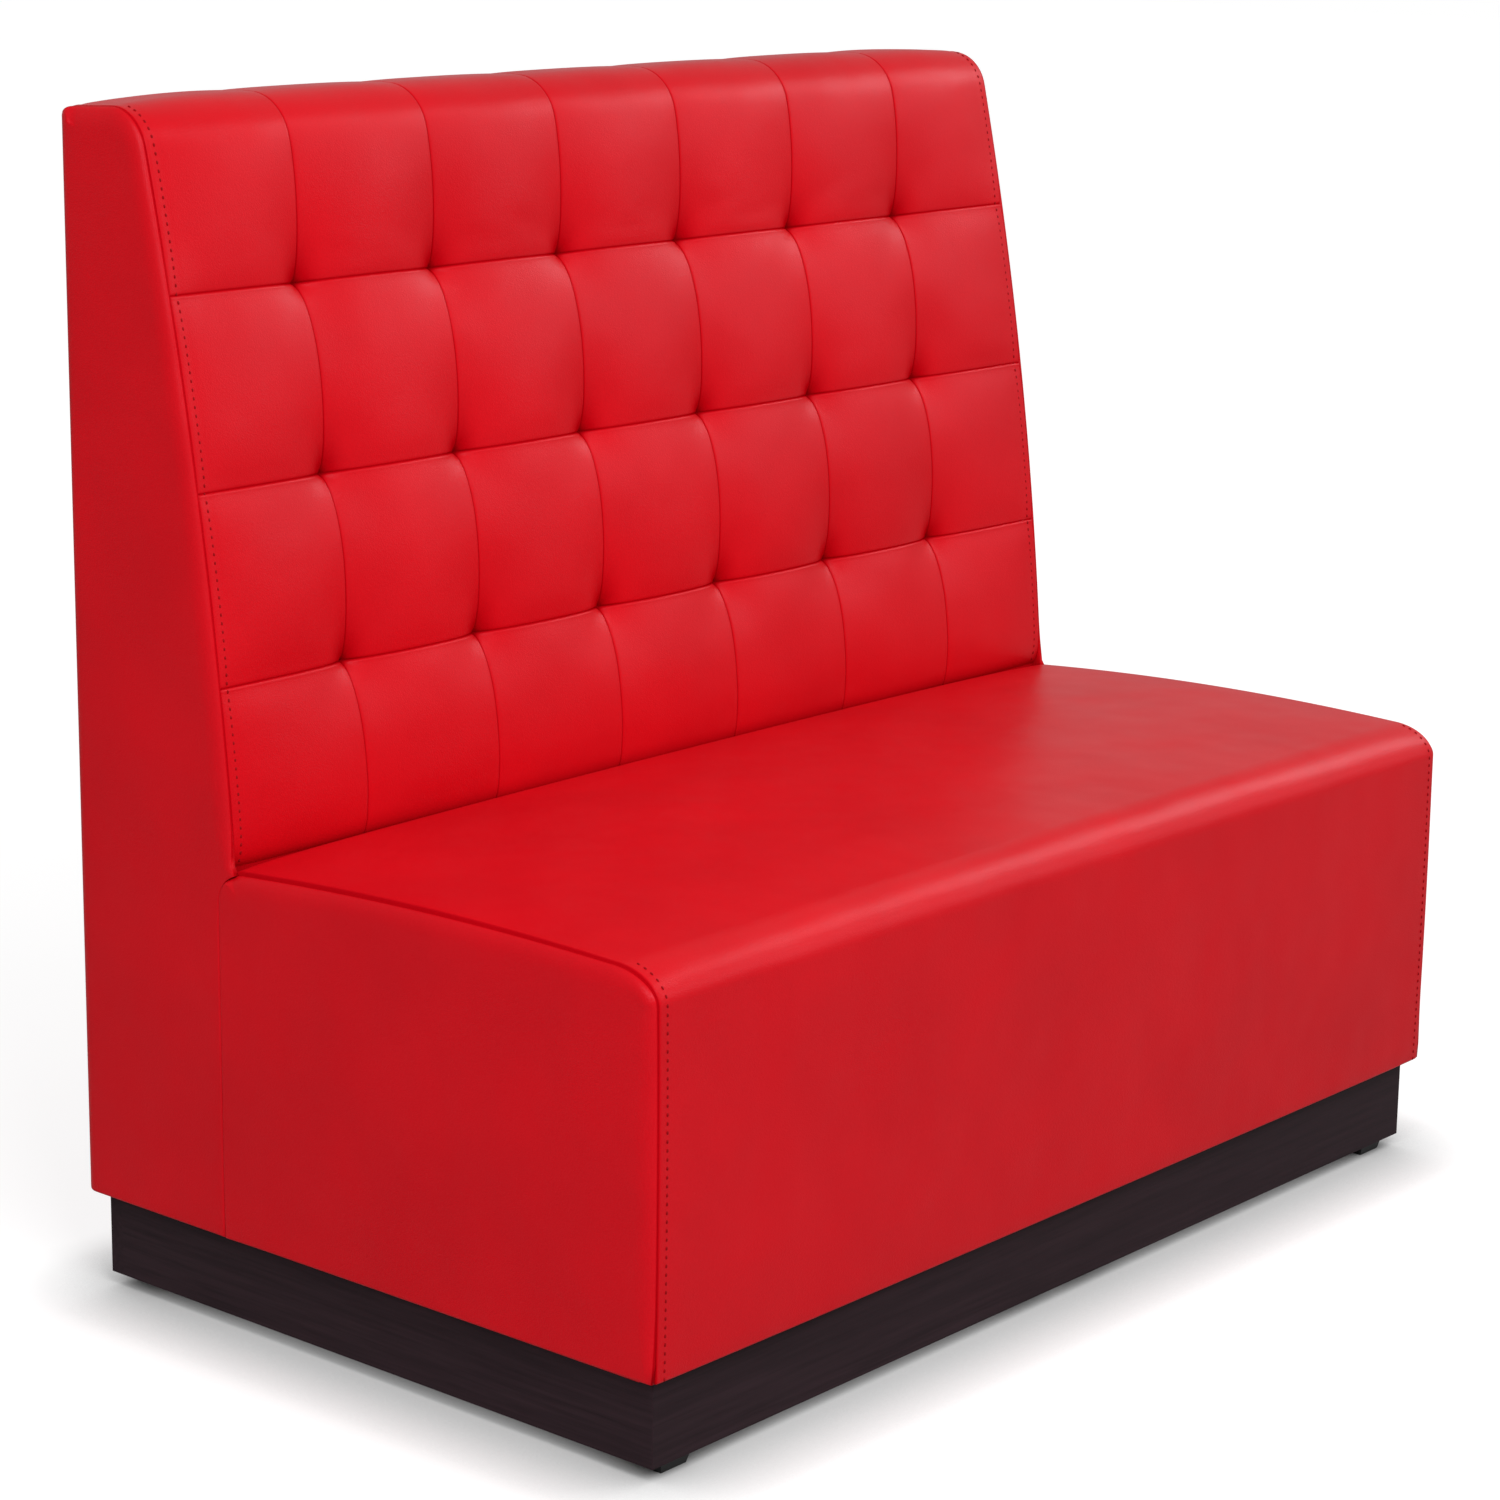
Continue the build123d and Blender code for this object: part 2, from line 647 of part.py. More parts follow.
def back_frame():
    """Plywood carcase of the back: uprights, rails and the boards that close it."""
    parts = {}
    outer, inner = frame_half, frame_inner
    front = seat_depth
    side_points = [
        (front, frame_base),
        (front, ledge_height),
        (rear_line(ledge_height), ledge_height),
        (rear_line(frame_top), frame_top),
        (back_rear, frame_top),
        (back_rear, frame_base),
    ]
    panel = side_profile(side_points, -outer, -inner)
    parts["back_left_panel"], parts["back_right_panel"] = both_sides(panel)
    padding = side_profile(side_points, -inner_half + layer_gap, -outer)
    padding &= board((-half_length, 0, 0), (0, depth - rear_corner, height))
    parts["back_left_padding"], parts["back_right_padding"] = both_sides(padding)

    rail_low = frame_top - top_rail_height
    parts["back_top_rail"] = side_profile(
        [
            (rear_line(rail_low), rail_low),
            (rear_line(frame_top), frame_top),
            (back_rear, frame_top),
            (back_rear, rail_low),
        ],
        -inner,
        inner,
    )
    middle_top = (tuft_heights()[0] + tuft_heights()[1] + middle_rail_height) / 2
    middle_front = rear_line(middle_top)
    middle_rail = board(
        (-inner, middle_front, middle_top - middle_rail_height), (inner, middle_front + ply, middle_top)
    )
    parts["back_middle_rail"] = middle_rail
    parts["back_ledge_board"] = board(
        (-inner, front, ledge_height - ply), (inner, rear_line(ledge_height), ledge_height)
    )
    bottom_rail = board(
        (-inner, front, bottom_rail_low), (inner, front + ply, bottom_rail_low + bottom_rail_height)
    )
    for x, z in bolt_places():
        bottom_rail -= bar_y(bolt_hole / 2, x, front - overrun, front + ply + overrun, z)
    parts["back_bottom_rail"] = bottom_rail
    batten_y = plinth_rear - plinth_board - base_screw_inset
    batten = board(
        (-inner, batten_y - batten_width / 2, frame_base),
        (inner, batten_y + batten_width / 2, frame_base + batten_height),
    )
    rib = side_profile(upright(rail_low, front + ply), -ply / 2, ply / 2)
    rib_x = length / columns
    notch = board(
        (-inner, middle_front - ply, middle_top - middle_rail_height), (inner, middle_front + ply, middle_top)
    )
    parts["back_left_rib"] = Pos(-rib_x, 0, 0) * rib - batten - notch
    parts["back_right_rib"] = Pos(rib_x, 0, 0) * rib - batten - notch
    for name, *place in corner_places():
        if "rear" in name:
            batten -= base_screw_parts(*place)[0]
    parts["back_base_batten"] = batten

    carrier = side_profile(
        [
            (front_line(ledge_height), ledge_height),
            (front_line(frame_top), frame_top),
            (rear_line(frame_top), frame_top),
            (rear_line(ledge_height), ledge_height),
        ],
        -outer,
        outer,
    )
    for plane, reach in tuft_planes():
        carrier -= plane * bar(twine / 2 + twine_clearance, reach, twine_sides)
    parts["back_front_board"] = carrier
    flat = half_length - rear_corner
    rear_face = back_rear + rear_board
    parts["back_rear_board"] = board((-flat, back_rear, frame_base), (flat, rear_face, frame_top))
    return parts


def back_soft():
    """Tufted foam and covers of the back module, resting on the crown of the seat."""
    parts = {}
    base = ledge_height
    wide = half_length + overrun
    seat_room = seat_body(-module_gap, wide, cover_base)
    behind_board = side_profile(
        [
            (front_line(base - overrun), base - overrun),
            (front_line(frame_top), frame_top),
            (depth + overrun, frame_top),
            (depth + overrun, base - overrun),
        ],
        -wide,
        wide,
    )
    foam = back_body(soft, inner_half - layer_gap, base) - behind_board - seat_room
    for waste in foam_corner_waste():
        foam -= waste
    for plane, reach in tuft_planes():
        foam -= plane * bar(twine / 2 + twine_clearance, 2 * (reach + overrun), twine_sides)
    parts["back_foam"] = foam

    front = back_body(0.0, inner_half, base) - back_body(cover, inner_half, base)
    front -= board((-wide, depth - rear_corner, base - overrun), (wide, depth + overrun, rear_seam))
    for waste in corner_waste():
        front -= waste
    seat_rear_edge = seat_seam_height - seat_rear_drop + seat_rear_crown - seat_rear_radius
    front -= board((-wide, 0, base - overrun), (wide, depth, seat_rear_edge))
    parts["back_front_cover"] = front - seat_room

    flat = half_length - rear_corner
    outline = extrude(back_section(-half_length, at_side, 0.0, base), amount=rear_corner)
    outline += board((-half_length, seat_depth + module_gap, cover_base), (-flat, depth, base))
    shell = rounded_plan(0.0, cover_base, height)
    shell -= rounded_plan(cover, cover_base - overrun, height + overrun)
    side = (shell & outline) - seat_room
    turn_low = (-half_length, seat_depth + module_gap, cover_base)
    side_turn = board(turn_low, (-half_length + flange, depth - flange, frame_base))
    side += side_turn & rounded_plan(0.0, cover_base, frame_base)
    parts["back_left_cover"], parts["back_right_cover"] = both_sides(side)
    rear = board((-flat, depth - cover, cover_base), (flat, depth, rear_seam))
    rear += board((-flat, depth - flange, cover_base), (flat, depth, frame_base))
    parts["back_rear_cover"] = rear
    return parts


def ties():
    """Twines drawn through foam and board at the tufts, each knotted on a washer."""
    twines, washers = [], []
    tail = tuft_washer_thickness
    for plane, reach in tuft_planes():
        cord = plane * Pos(0, 0, (tail - reach) / 2) * bar(twine / 2, reach + tail, twine_sides)
        knot_place = plane * Pos(0, 0, tail + twine_knot_height / 2)
        knot = knot_place * bar(twine_knot / 2, twine_knot_height, twine_sides)
        twines.append(cord + knot)
        hole = bar(twine / 2 + twine_clearance, tail + overrun, twine_sides)
        disc = bar(tuft_washer / 2, tail, washer_sides) - hole
        washers.append(plane * Pos(0, 0, tail / 2) * disc)
    return {"tufting_twines": Compound(twines), "tufting_washers": Compound(washers)}


def hexagon(width, y_low, y_high, x, z):
    """A hexagonal head or nut along y, given its width across flats."""
    face_back = Plane.XZ * RegularPolygon(width / 2, 6, major_radius=False)
    return Pos(x, y_high, z) * extrude(face_back, amount=y_high - y_low)


def joining():
    """Bolts that draw the back against the seat, with their washers and nuts."""
    bolts, washers, nuts = [], [], []
    start, end = seat_depth - ply, seat_depth + ply
    thick = bolt_washer_thickness
    tip = end + thick + bolt_nut_height + bolt_tail
    for x, z in bolt_places():
        head = hexagon(bolt_head_width, start - thick - bolt_head_height, start - thick, x, z)
        bolts.append(head + bar_y(bolt / 2, x, start - thick, tip, z))
        bore = bar_y(bolt / 2 + bolt_fit, x, start - overrun, tip + overrun, z)
        for low in (start - thick, end):
            washers.append(bar_y(bolt_washer / 2, x, low, low + thick, z) - bore)
        nuts.append(hexagon(bolt_head_width, end + thick, end + thick + bolt_nut_height, x, z) - bore)
    return {
        "joining_bolts": Compound(bolts),
        "joining_washers": Compound(washers),
        "joining_nuts": Compound(nuts),
    }


def dust_cover():
    """Thin cloth stapled under both frames, inside the plinth."""
    half = plinth_half - plinth_board
    low = (-half, plinth_front + plinth_board, frame_base - dust_cloth)
    cloth = board(low, (half, plinth_rear - plinth_board, frame_base))
    for name, *place in corner_places():
        cloth -= base_screw_parts(*place)[0]
    return {"dust_cover": cloth}


os.makedirs("parts", exist_ok=True)
middle = Pos(0, -depth / 2, 0)
for section in (plinth, seat, back_frame, back_soft, ties, joining, dust_cover):
    for name, shape in section().items():
        export_step(middle * shape, "parts/" + name + ".step")
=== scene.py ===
import json
import math

import bmesh
import bpy
import numpy as np
from mathutils import Matrix, Vector
from mathutils.geometry import delaunay_2d_cdt


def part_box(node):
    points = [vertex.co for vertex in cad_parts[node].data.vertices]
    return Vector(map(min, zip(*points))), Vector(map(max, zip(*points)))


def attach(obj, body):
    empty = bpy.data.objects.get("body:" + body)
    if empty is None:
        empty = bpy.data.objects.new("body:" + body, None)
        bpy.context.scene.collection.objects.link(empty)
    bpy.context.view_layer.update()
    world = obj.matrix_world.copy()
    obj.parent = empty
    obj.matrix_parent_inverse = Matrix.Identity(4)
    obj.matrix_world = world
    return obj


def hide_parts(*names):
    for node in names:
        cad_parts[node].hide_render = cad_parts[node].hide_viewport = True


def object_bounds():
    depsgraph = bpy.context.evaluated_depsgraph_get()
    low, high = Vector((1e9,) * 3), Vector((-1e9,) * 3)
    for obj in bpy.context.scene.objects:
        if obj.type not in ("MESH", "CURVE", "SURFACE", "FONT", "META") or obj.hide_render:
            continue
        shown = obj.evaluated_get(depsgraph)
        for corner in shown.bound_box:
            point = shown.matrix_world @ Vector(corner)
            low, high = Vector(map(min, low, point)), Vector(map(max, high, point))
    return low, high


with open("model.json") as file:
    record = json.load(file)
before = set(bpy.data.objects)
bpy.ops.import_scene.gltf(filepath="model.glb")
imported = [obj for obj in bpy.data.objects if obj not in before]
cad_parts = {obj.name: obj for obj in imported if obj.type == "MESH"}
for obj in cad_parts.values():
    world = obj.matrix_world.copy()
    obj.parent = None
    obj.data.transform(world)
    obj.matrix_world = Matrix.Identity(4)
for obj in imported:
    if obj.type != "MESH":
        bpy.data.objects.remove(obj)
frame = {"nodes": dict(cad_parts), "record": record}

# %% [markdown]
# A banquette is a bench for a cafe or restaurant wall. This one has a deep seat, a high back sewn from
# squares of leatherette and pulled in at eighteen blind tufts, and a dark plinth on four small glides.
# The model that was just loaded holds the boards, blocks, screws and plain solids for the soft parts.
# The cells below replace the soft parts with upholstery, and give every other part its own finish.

cad_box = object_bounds()
nodes = frame["nodes"]
print("model box", [list(corner) for corner in cad_box])

# %% [markdown]
# The camera stands where the photograph was taken: a little above the bench, in front and to the left.
# Its place and turn were worked out from straight edges of the bench. The matrix is built from three
# directions, because that keeps yaw, pitch and roll apart and easy to check.

# %% Camera
camera_yaw, camera_pitch, camera_roll = (math.radians(a) for a in (40.252, 13.746, 0.822))
camera_place = (-2.880, -2.391, 1.370)
camera_lens, camera_shift = 95.736, (-0.00673, 0.01027)

look = Vector((
    math.cos(camera_yaw) * math.cos(camera_pitch),
    math.sin(camera_yaw) * math.cos(camera_pitch),
    -math.sin(camera_pitch),
))
level = Vector((math.sin(camera_yaw), -math.cos(camera_yaw), 0.0))
above = level.cross(look)
right = level * math.cos(camera_roll) + above * math.sin(camera_roll)
upward = above * math.cos(camera_roll) - level * math.sin(camera_roll)

camera = bpy.data.objects.new("camera", bpy.data.cameras.new("camera"))
bpy.context.scene.collection.objects.link(camera)
camera.matrix_world = Matrix.Translation(camera_place) @ Matrix((right, upward, -look)).transposed().to_4x4()
camera.data.lens = camera_lens
camera.data.shift_x, camera.data.shift_y = camera_shift
bpy.context.scene.camera = camera
bpy.context.scene.view_settings.view_transform = "Standard"
print("camera looks along", [round(c, 3) for c in look])

# %% [markdown]
# Materials are built from nodes. A few small helpers keep each recipe readable. One turns a screen
# colour into the linear numbers that the shader wants, and others start a material or add a node. They
# feed each socket with what they are given: a value is set, and another socket is linked.

# %% Helpers for materials
def paint(red, green, blue):
    """A screen colour from 0 to 255 as the linear colour that a shader takes."""
    shares = [c / 255 for c in (red, green, blue)]
    return [s / 12.92 if s <= 0.04045 else ((s + 0.055) / 1.055) ** 2.4 for s in shares] + [1.0]


def feed(tree, socket, value):
    """Links a socket to another one, or sets its value."""
    if isinstance(value, bpy.types.NodeSocket):
        tree.links.new(value, socket)
    else:
        socket.default_value = value


def add_node(tree, kind, settings=None, **sockets):
    """Adds a node of any kind. A socket's name is written with _ for each space."""
    made = tree.nodes.new(kind)
    for key, value in (settings or {}).items():
        setattr(made, key, value)
    for key, value in sockets.items():
        feed(tree, made.inputs[key.replace("_", " ")], value)
    return made


def add(tree, kind, settings=None, **sockets):
    """Adds a shader node."""
    return add_node(tree, "ShaderNode" + kind, settings, **sockets)


def work_out(tree, operation, *values):
    """Adds a Math node for one or two numbers, and gives its result."""
    made = add(tree, "Math", {"operation": operation})
    for socket, value in zip(made.inputs, values):
        feed(tree, socket, value)
    return made.outputs[0]


def start_material(name, **values):
    """A material with one Principled shader, whose uniform values are set on its own sockets."""
    material = bpy.data.materials.new(name)
    material.use_nodes = True
    tree = material.node_tree
    tree.nodes.clear()
    surface = add(tree, "BsdfPrincipled", **values)
    add(tree, "OutputMaterial", Surface=surface.outputs["BSDF"])
    return material, tree, surface


def mix_colours(tree, factor, first, second):
    """Mixes two colours, each a value or a socket, by a factor."""
    made = add(tree, "Mix", {"data_type": "RGBA"})
    for place, value in ((0, factor), (6, first), (7, second)):
        feed(tree, made.inputs[place], value)
    return made.outputs[2]


def stretch(tree, value, low, high, new_low=0.0, new_high=1.0):
    """Spreads the part of a value between low and high over a new range, and clamps the rest."""
    made = add(tree, "MapRange", Value=value, From_Min=low, From_Max=high, To_Min=new_low, To_Max=new_high)
    return made.outputs["Result"]


def relief(tree, surface, *layers):
    """Chains bump layers, each a height socket, a strength and a distance in metres."""
    normal = None
    for height, strength, distance in layers:
        bump = add(tree, "Bump", Height=height, Strength=strength, Distance=distance)
        if normal is not None:
            tree.links.new(normal, bump.inputs["Normal"])
        normal = bump.outputs["Normal"]
    tree.links.new(normal, surface.inputs["Normal"])


# %% [markdown]
# Leatherette is cloth with a skin of soft plastic, pressed with a fine leather grain. It is satin and
# takes a broad, soft highlight. The recipe works at three scales: slow changes of tone, the slight give
# of foam under the skin about ten centimetres wide, and pressed pebbles and pores a millimetre or two
# wide. Where the skin folds into a seam it is given a deeper colour and no shine, which is painted shade
# for the shadow in the fold. How strong that painted shade is comes from a value that each padded piece
# carries on its own points: 0 on its open face, and up to 1 in the pits of the tufts. The gloss is
# tinted a little towards magenta, so that the red stays cool where it shines.

# %% Leatherette
leather_gloss = 0.16
leather_shine = (1.0, 0.80, 1.0, 1.0)
lighter_share, darker_share = 1.05, 0.95


def leatherette(name, colour, deep, roughness):
    """Satin red skin with a fine grain, and painted shade, a deep colour without shine, in its folds."""
    material, tree, surface = start_material(name, IOR=1.5, Specular_Tint=leather_shine)
    place = add(tree, "TexCoord").outputs["Object"]
    seam = add(tree, "Attribute", {"attribute_name": "seam"}).outputs["Fac"]
    tone = add(tree, "TexNoise", Vector=place, Scale=7.0, Detail=3.0, Roughness=0.5).outputs["Fac"]
    pebble = add(tree, "TexVoronoi", {"feature": "SMOOTH_F1"}, Vector=place, Scale=900.0, Smoothness=0.55)
    pores = add(tree, "TexNoise", Vector=place, Scale=520.0, Detail=2.0, Roughness=0.6).outputs["Fac"]
    lighter = [min(1.0, c * lighter_share) for c in colour[:3]] + [1.0]
    darker = [c * darker_share for c in colour[:3]] + [1.0]
    cloudy = mix_colours(tree, stretch(tree, tone, 0.3, 0.7), darker, lighter)
    grained = mix_colours(tree, stretch(tree, pores, 0.35, 0.75, 0.0, 0.12), cloudy, deep)
    # Painted shade: the seam value turns the colour deep in seams, pits and creases.
    fold_and_painted_shade = mix_colours(tree, stretch(tree, seam, 0.05, 1.0, 0.0, 0.9), grained, deep)
    tree.links.new(fold_and_painted_shade, surface.inputs["Base Color"])
    worn = add(tree, "TexNoise", Vector=place, Scale=16.0, Detail=4.0, Roughness=0.6).outputs["Fac"]
    satin = stretch(tree, worn, 0.3, 0.7, roughness - 0.02, roughness + 0.02)
    tree.links.new(satin, surface.inputs["Roughness"])
    # The painted shade also takes away the shine.
    gloss = stretch(tree, seam, 0.0, 0.5, leather_gloss, 0.0)
    tree.links.new(gloss, surface.inputs["Specular IOR Level"])
    give = add(tree, "TexNoise", Vector=place, Scale=10.0, Detail=1.5, Roughness=0.4).outputs["Fac"]
    relief(
        tree, surface,
        (give, 0.3, 0.012),
        (pebble.outputs["Distance"], 0.35, 0.0004),
        (pores, 0.2, 0.0003),
    )
    return material


red = leatherette("leatherette red", paint(204, 8, 21), paint(142, 0, 8), 0.36)
red_rear = leatherette("leatherette red, outside back", paint(198, 7, 21), paint(126, 0, 7), 0.38)
print("leatherette made")

# %% [markdown]
# The plinth is board with a dark stained grain under satin lacquer. Long fibres are a noise that is
# stretched along the board, so each board names the axis it runs along. The same recipe in pale colours
# serves the softwood blocks and the hidden plywood, where thin lines of glue between the plies also
# show on the cut edges.

# %% Wood
axis_names = "XYZ"
fibre_stretch = 0.035
ply_layer = 0.0014


def wood(name, along, pale, dark, roughness, fibre=170.0, gloss=0.4, bump=0.3):
    """Stained or raw wood whose fibres run along one axis."""
    material, tree, surface = start_material(name, Specular_IOR_Level=gloss)
    place = add(tree, "TexCoord").outputs["Object"]
    scale = [1.0, 1.0, 1.0]
    scale[along] = fibre_stretch
    fibres = add(tree, "Mapping", Vector=place, Scale=scale).outputs["Vector"]
    fine = add(tree, "TexNoise", Vector=fibres, Scale=fibre, Detail=5.0, Roughness=0.6).outputs["Fac"]
    broad = add(
        tree, "TexNoise", Vector=fibres, Scale=fibre / 7, Detail=3.0, Roughness=0.5, Distortion=0.6
    ).outputs["Fac"]
    lines = mix_colours(tree, stretch(tree, fine, 0.3, 0.7), dark, pale)
    bands = mix_colours(tree, stretch(tree, broad, 0.35, 0.65, 0.0, 0.45), lines, dark)
    tree.links.new(bands, surface.inputs["Base Color"])
    satin = stretch(tree, fine, 0.2, 0.8, roughness - 0.06, roughness + 0.06)
    tree.links.new(satin, surface.inputs["Roughness"])
    relief(tree, surface, (fine, bump, 0.0003))
    return material


def plywood(name, along, across):
    """Raw plywood: birch grain along one axis, and dark glue lines where its layers are cut."""
    material = wood(name, along, paint(214, 184, 142), paint(184, 148, 104), 0.6)
    tree = material.node_tree
    surface = next(n for n in tree.nodes if n.type == "BSDF_PRINCIPLED")
    place = add(tree, "TexCoord").outputs["Object"]
    split = add(tree, "SeparateXYZ", Vector=place).outputs[across]
    facing = add(tree, "SeparateXYZ", Vector=add(tree, "TexCoord").outputs["Normal"]).outputs[across]
    flat = work_out(tree, "ABSOLUTE", facing)
    layers = work_out(tree, "PINGPONG", split, ply_layer)
    glue = stretch(tree, layers, 0.0, ply_layer * 0.35, 0.8, 0.0)
    cut = stretch(tree, flat, 0.3, 0.7, 1.0, 0.0)
    lines = work_out(tree, "MULTIPLY", glue, cut)
    before = surface.inputs["Base Color"].links[0].from_socket
    layered = mix_colours(tree, lines, before, paint(120, 84, 52))
    tree.links.new(layered, surface.inputs["Base Color"])
    return material


wenge_pale, wenge_dark = paint(53, 38, 43), paint(38, 27, 31)
pine_pale, pine_dark = paint(226, 188, 134), paint(198, 150, 96)
wenge = [
    wood("plinth stain, along " + axis, along, wenge_pale, wenge_dark, 0.40, 240.0, 0.07, 0.12)
    for along, axis in enumerate(axis_names)
]
softwood = [
    wood("planed softwood, along " + axis, along, pine_pale, pine_dark, 0.6)
    for along, axis in enumerate(axis_names)
]
print("woods made")

# %% [markdown]
# The other finishes are simpler. Moulded plastic, hardboard, zinc plate, dust cloth, twine, thread and
# foam are finely speckled. Webbing and hessian show a plain weave: two sets of waves at right angles.

# %% Plain finishes
def speckled(name, colour, other, roughness, scale, bump, **values):
    """A finish with fine random specks in colour, gloss and height."""
    material, tree, surface = start_material(name, **values)
    place = add(tree, "TexCoord").outputs["Object"]
    specks = add(tree, "TexNoise", Vector=place, Scale=scale, Detail=4.0, Roughness=0.6).outputs["Fac"]
    mixed = mix_colours(tree, stretch(tree, specks, 0.3, 0.7), colour, other)
    tree.links.new(mixed, surface.inputs["Base Color"])
    dulled = stretch(tree, specks, 0.2, 0.8, roughness - 0.07, roughness + 0.07)
    tree.links.new(dulled, surface.inputs["Roughness"])
    relief(tree, surface, (specks, bump, 0.0003))
    return material


def woven(name, colour, other, thread, roughness=0.85):
    """Plain weave: waves along both axes of the cloth, a thread wide and a thread apart."""
    material, tree, surface = start_material(name, Sheen_Weight=0.25)
    place = add(tree, "TexCoord").outputs["Object"]
    waves = [
        add(tree, "TexWave", {"bands_direction": way}, Vector=place, Scale=0.16 / thread, Distortion=0.4)
        for way in ("X", "Y")
    ]
    crossed = work_out(tree, "MAXIMUM", *(wave.outputs["Fac"] for wave in waves))
    fuzz = add(tree, "TexNoise", Vector=place, Scale=260.0, Detail=3.0).outputs["Fac"]
    threads = mix_colours(tree, stretch(tree, crossed, 0.35, 0.95), other, colour)
    fuzzy = mix_colours(tree, stretch(tree, fuzz, 0.4, 0.8, 0.0, 0.35), threads, other)
    tree.links.new(fuzzy, surface.inputs["Base Color"])
    dulled = stretch(tree, fuzz, 0.3, 0.7, roughness - 0.08, roughness + 0.08)
    tree.links.new(dulled, surface.inputs["Roughness"])
    relief(tree, surface, (crossed, 0.6, thread / 3))
    return material


black_plastic = speckled("black moulded plastic", paint(30, 29, 30), paint(19, 18, 19), 0.5, 900.0, 0.2)
hardboard = speckled("brown hardboard", paint(122, 88, 58), paint(92, 64, 42), 0.6, 420.0, 0.3)
zinc = speckled("zinc plate", paint(205, 205, 200), paint(168, 168, 166), 0.35, 300.0, 0.15, Metallic=1.0)
twine_finish = speckled("waxed twine", paint(216, 204, 176), paint(170, 152, 120), 0.6, 900.0, 0.6)
webbing_finish = woven("black webbing", paint(44, 44, 48), paint(16, 16, 18), 0.0022)
hessian = woven("hessian", paint(178, 148, 108), paint(116, 90, 60), 0.0016)
cambric = speckled("black cambric", paint(34, 34, 36), paint(18, 18, 20), 0.9, 700.0, 0.5)
thread_red = speckled(
    "dark red thread", paint(156, 3, 12), paint(124, 0, 8), 0.6, 1500.0, 0.4, Specular_IOR_Level=0.1
)
foam_finish = speckled("upholstery foam", paint(230, 218, 172), paint(205, 190, 140), 0.9, 600.0, 0.8)
print("plain finishes made")

# %% [markdown]
# Each part of the model keeps its shape and takes the finish that its slot in the record names. A wood
# grain runs along a board's longest side, and plywood's layers are stacked across its shortest one.

# %% Finishes for the parts that stay
def axes_by_length(name):
    """The axes of a part's box, from its shortest side to its longest."""
    low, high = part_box(name)
    return sorted(range(3), key=lambda a: high[a] - low[a])


plywoods = {}


def finish_for(name, slot):
    """The finish of one part, turned to the way its grain runs where it is wood."""
    shortest, _, longest = axes_by_length(name)
    if slot == "plinth_wenge":
        return wenge[longest]
    if slot == "softwood":
        return softwood[longest]
    if slot == "birch_plywood":
        key = (longest, shortest)
        if key not in plywoods:
            title = "birch plywood, along %s across %s" % (axis_names[longest], axis_names[shortest])
            plywoods[key] = plywood(title, longest, shortest)
        return plywoods[key]
    return plain_finishes[slot]


plain_finishes = {
    "leatherette_red": red, "leatherette_rear": red_rear, "foam": foam_finish,
    "webbing": webbing_finish, "support_cloth": hessian, "dust_cloth": cambric,
    "glide_black": black_plastic, "hardboard": hardboard, "twine": twine_finish, "zinc_steel": zinc,
}
for subpart in frame["record"]["subparts"]:
    part = nodes[subpart["node"]]
    part.data.materials.clear()
    part.data.materials.append(finish_for(subpart["node"], subpart["material_slot"]))
print("finishes given to", len(nodes), "parts of the model")

# %% [markdown]
# Every size here is in metres, in the same frame as the model: x runs along the bench, y towards the
# back and z up, with the origin on the floor. The overall sizes are read from the boxes of the model's
# own parts, so that the upholstery fits the frame that carries it.

# %% Sizes shared by the upholstery
half_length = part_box("seat_right_cover")[1].x
front = cad_box[0].y
rear = cad_box[1].y
top = cad_box[1].z
frame_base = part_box("seat_front_panel")[0].z
hem_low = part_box("back_rear_cover")[0].z
seat_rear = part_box("seat_rear_panel")[1].y
seat_seam_height = 0.446
edge_roll = 0.007
module_gap = 0.0004
cover_thickness = 0.0014
hem_top = frame_base - 0.0002
seam_half = half_length - edge_roll
print("half length", half_length, "rear", rear, "top", top, "seat rear", seat_rear)

# %% [markdown]
# Most of the upholstery is a loft: the same closed section drawn at many places along x. A helper turns
# an array of sections into a mesh, closes its ends and makes all faces point outwards. Another gives
# places along a line with more of them beside each seam, where the cover bends most.

# %% Helpers that turn arrays into meshes
def finish_mesh(name, bm, material, depths=None):
    """Closes a bmesh into an object whose faces point outwards, with its seam value on its points."""
    bm.verts.index_update()
    bmesh.ops.recalc_face_normals(bm, faces=bm.faces)
    mesh = bpy.data.meshes.new(name)
    bm.to_mesh(mesh)
    bm.free()
    mesh.shade_smooth()
    mesh.materials.append(material)
    values = np.zeros(len(mesh.vertices), np.float32)
    if depths is not None:
        values[: len(depths)] = depths
    mesh.attributes.new("seam", "FLOAT", "POINT").data.foreach_set("value", values)
    piece = bpy.data.objects.new(name, mesh)
    bpy.context.scene.collection.objects.link(piece)
    print(name, len(mesh.vertices), "points", len(mesh.polygons), "faces")
    return piece


def loft_piece(name, sections, material, depths=None):
    """A closed piece from an array of closed sections, indexed by section, point and axis."""
    count, size = sections.shape[:2]
    bm = bmesh.new()
    rings = [[bm.verts.new(point) for point in section] for section in sections]
    for i in range(count - 1):
        for j in range(size):
            k = (j + 1) % size
            bm.faces.new((rings[i][j], rings[i][k], rings[i + 1][k], rings[i + 1][j]))
    for ring in (rings[0], rings[-1]):
        bm.faces.new(ring)
    return finish_mesh(name, bm, material, depths)


seam_steps = (0.0006, 0.0012, 0.002, 0.0032, 0.0052, 0.0085)


def spread(low, high, step, seams=()):
    """Places from low to high about a step apart, with more of them beside each seam and end."""
    stops = sorted({low, high, *seams})
    places = set(stops)
    for a, b in zip(stops, stops[1:]):
        places.update([a + s for s in seam_steps] + [b - s for s in seam_steps])
        count = max(2, round((b - a - 2 * seam_steps[-1]) / step) + 1)
        places.update(np.linspace(a + seam_steps[-1], b - seam_steps[-1], count))
    return np.array(sorted({round(float(p), 6) for p in places}))


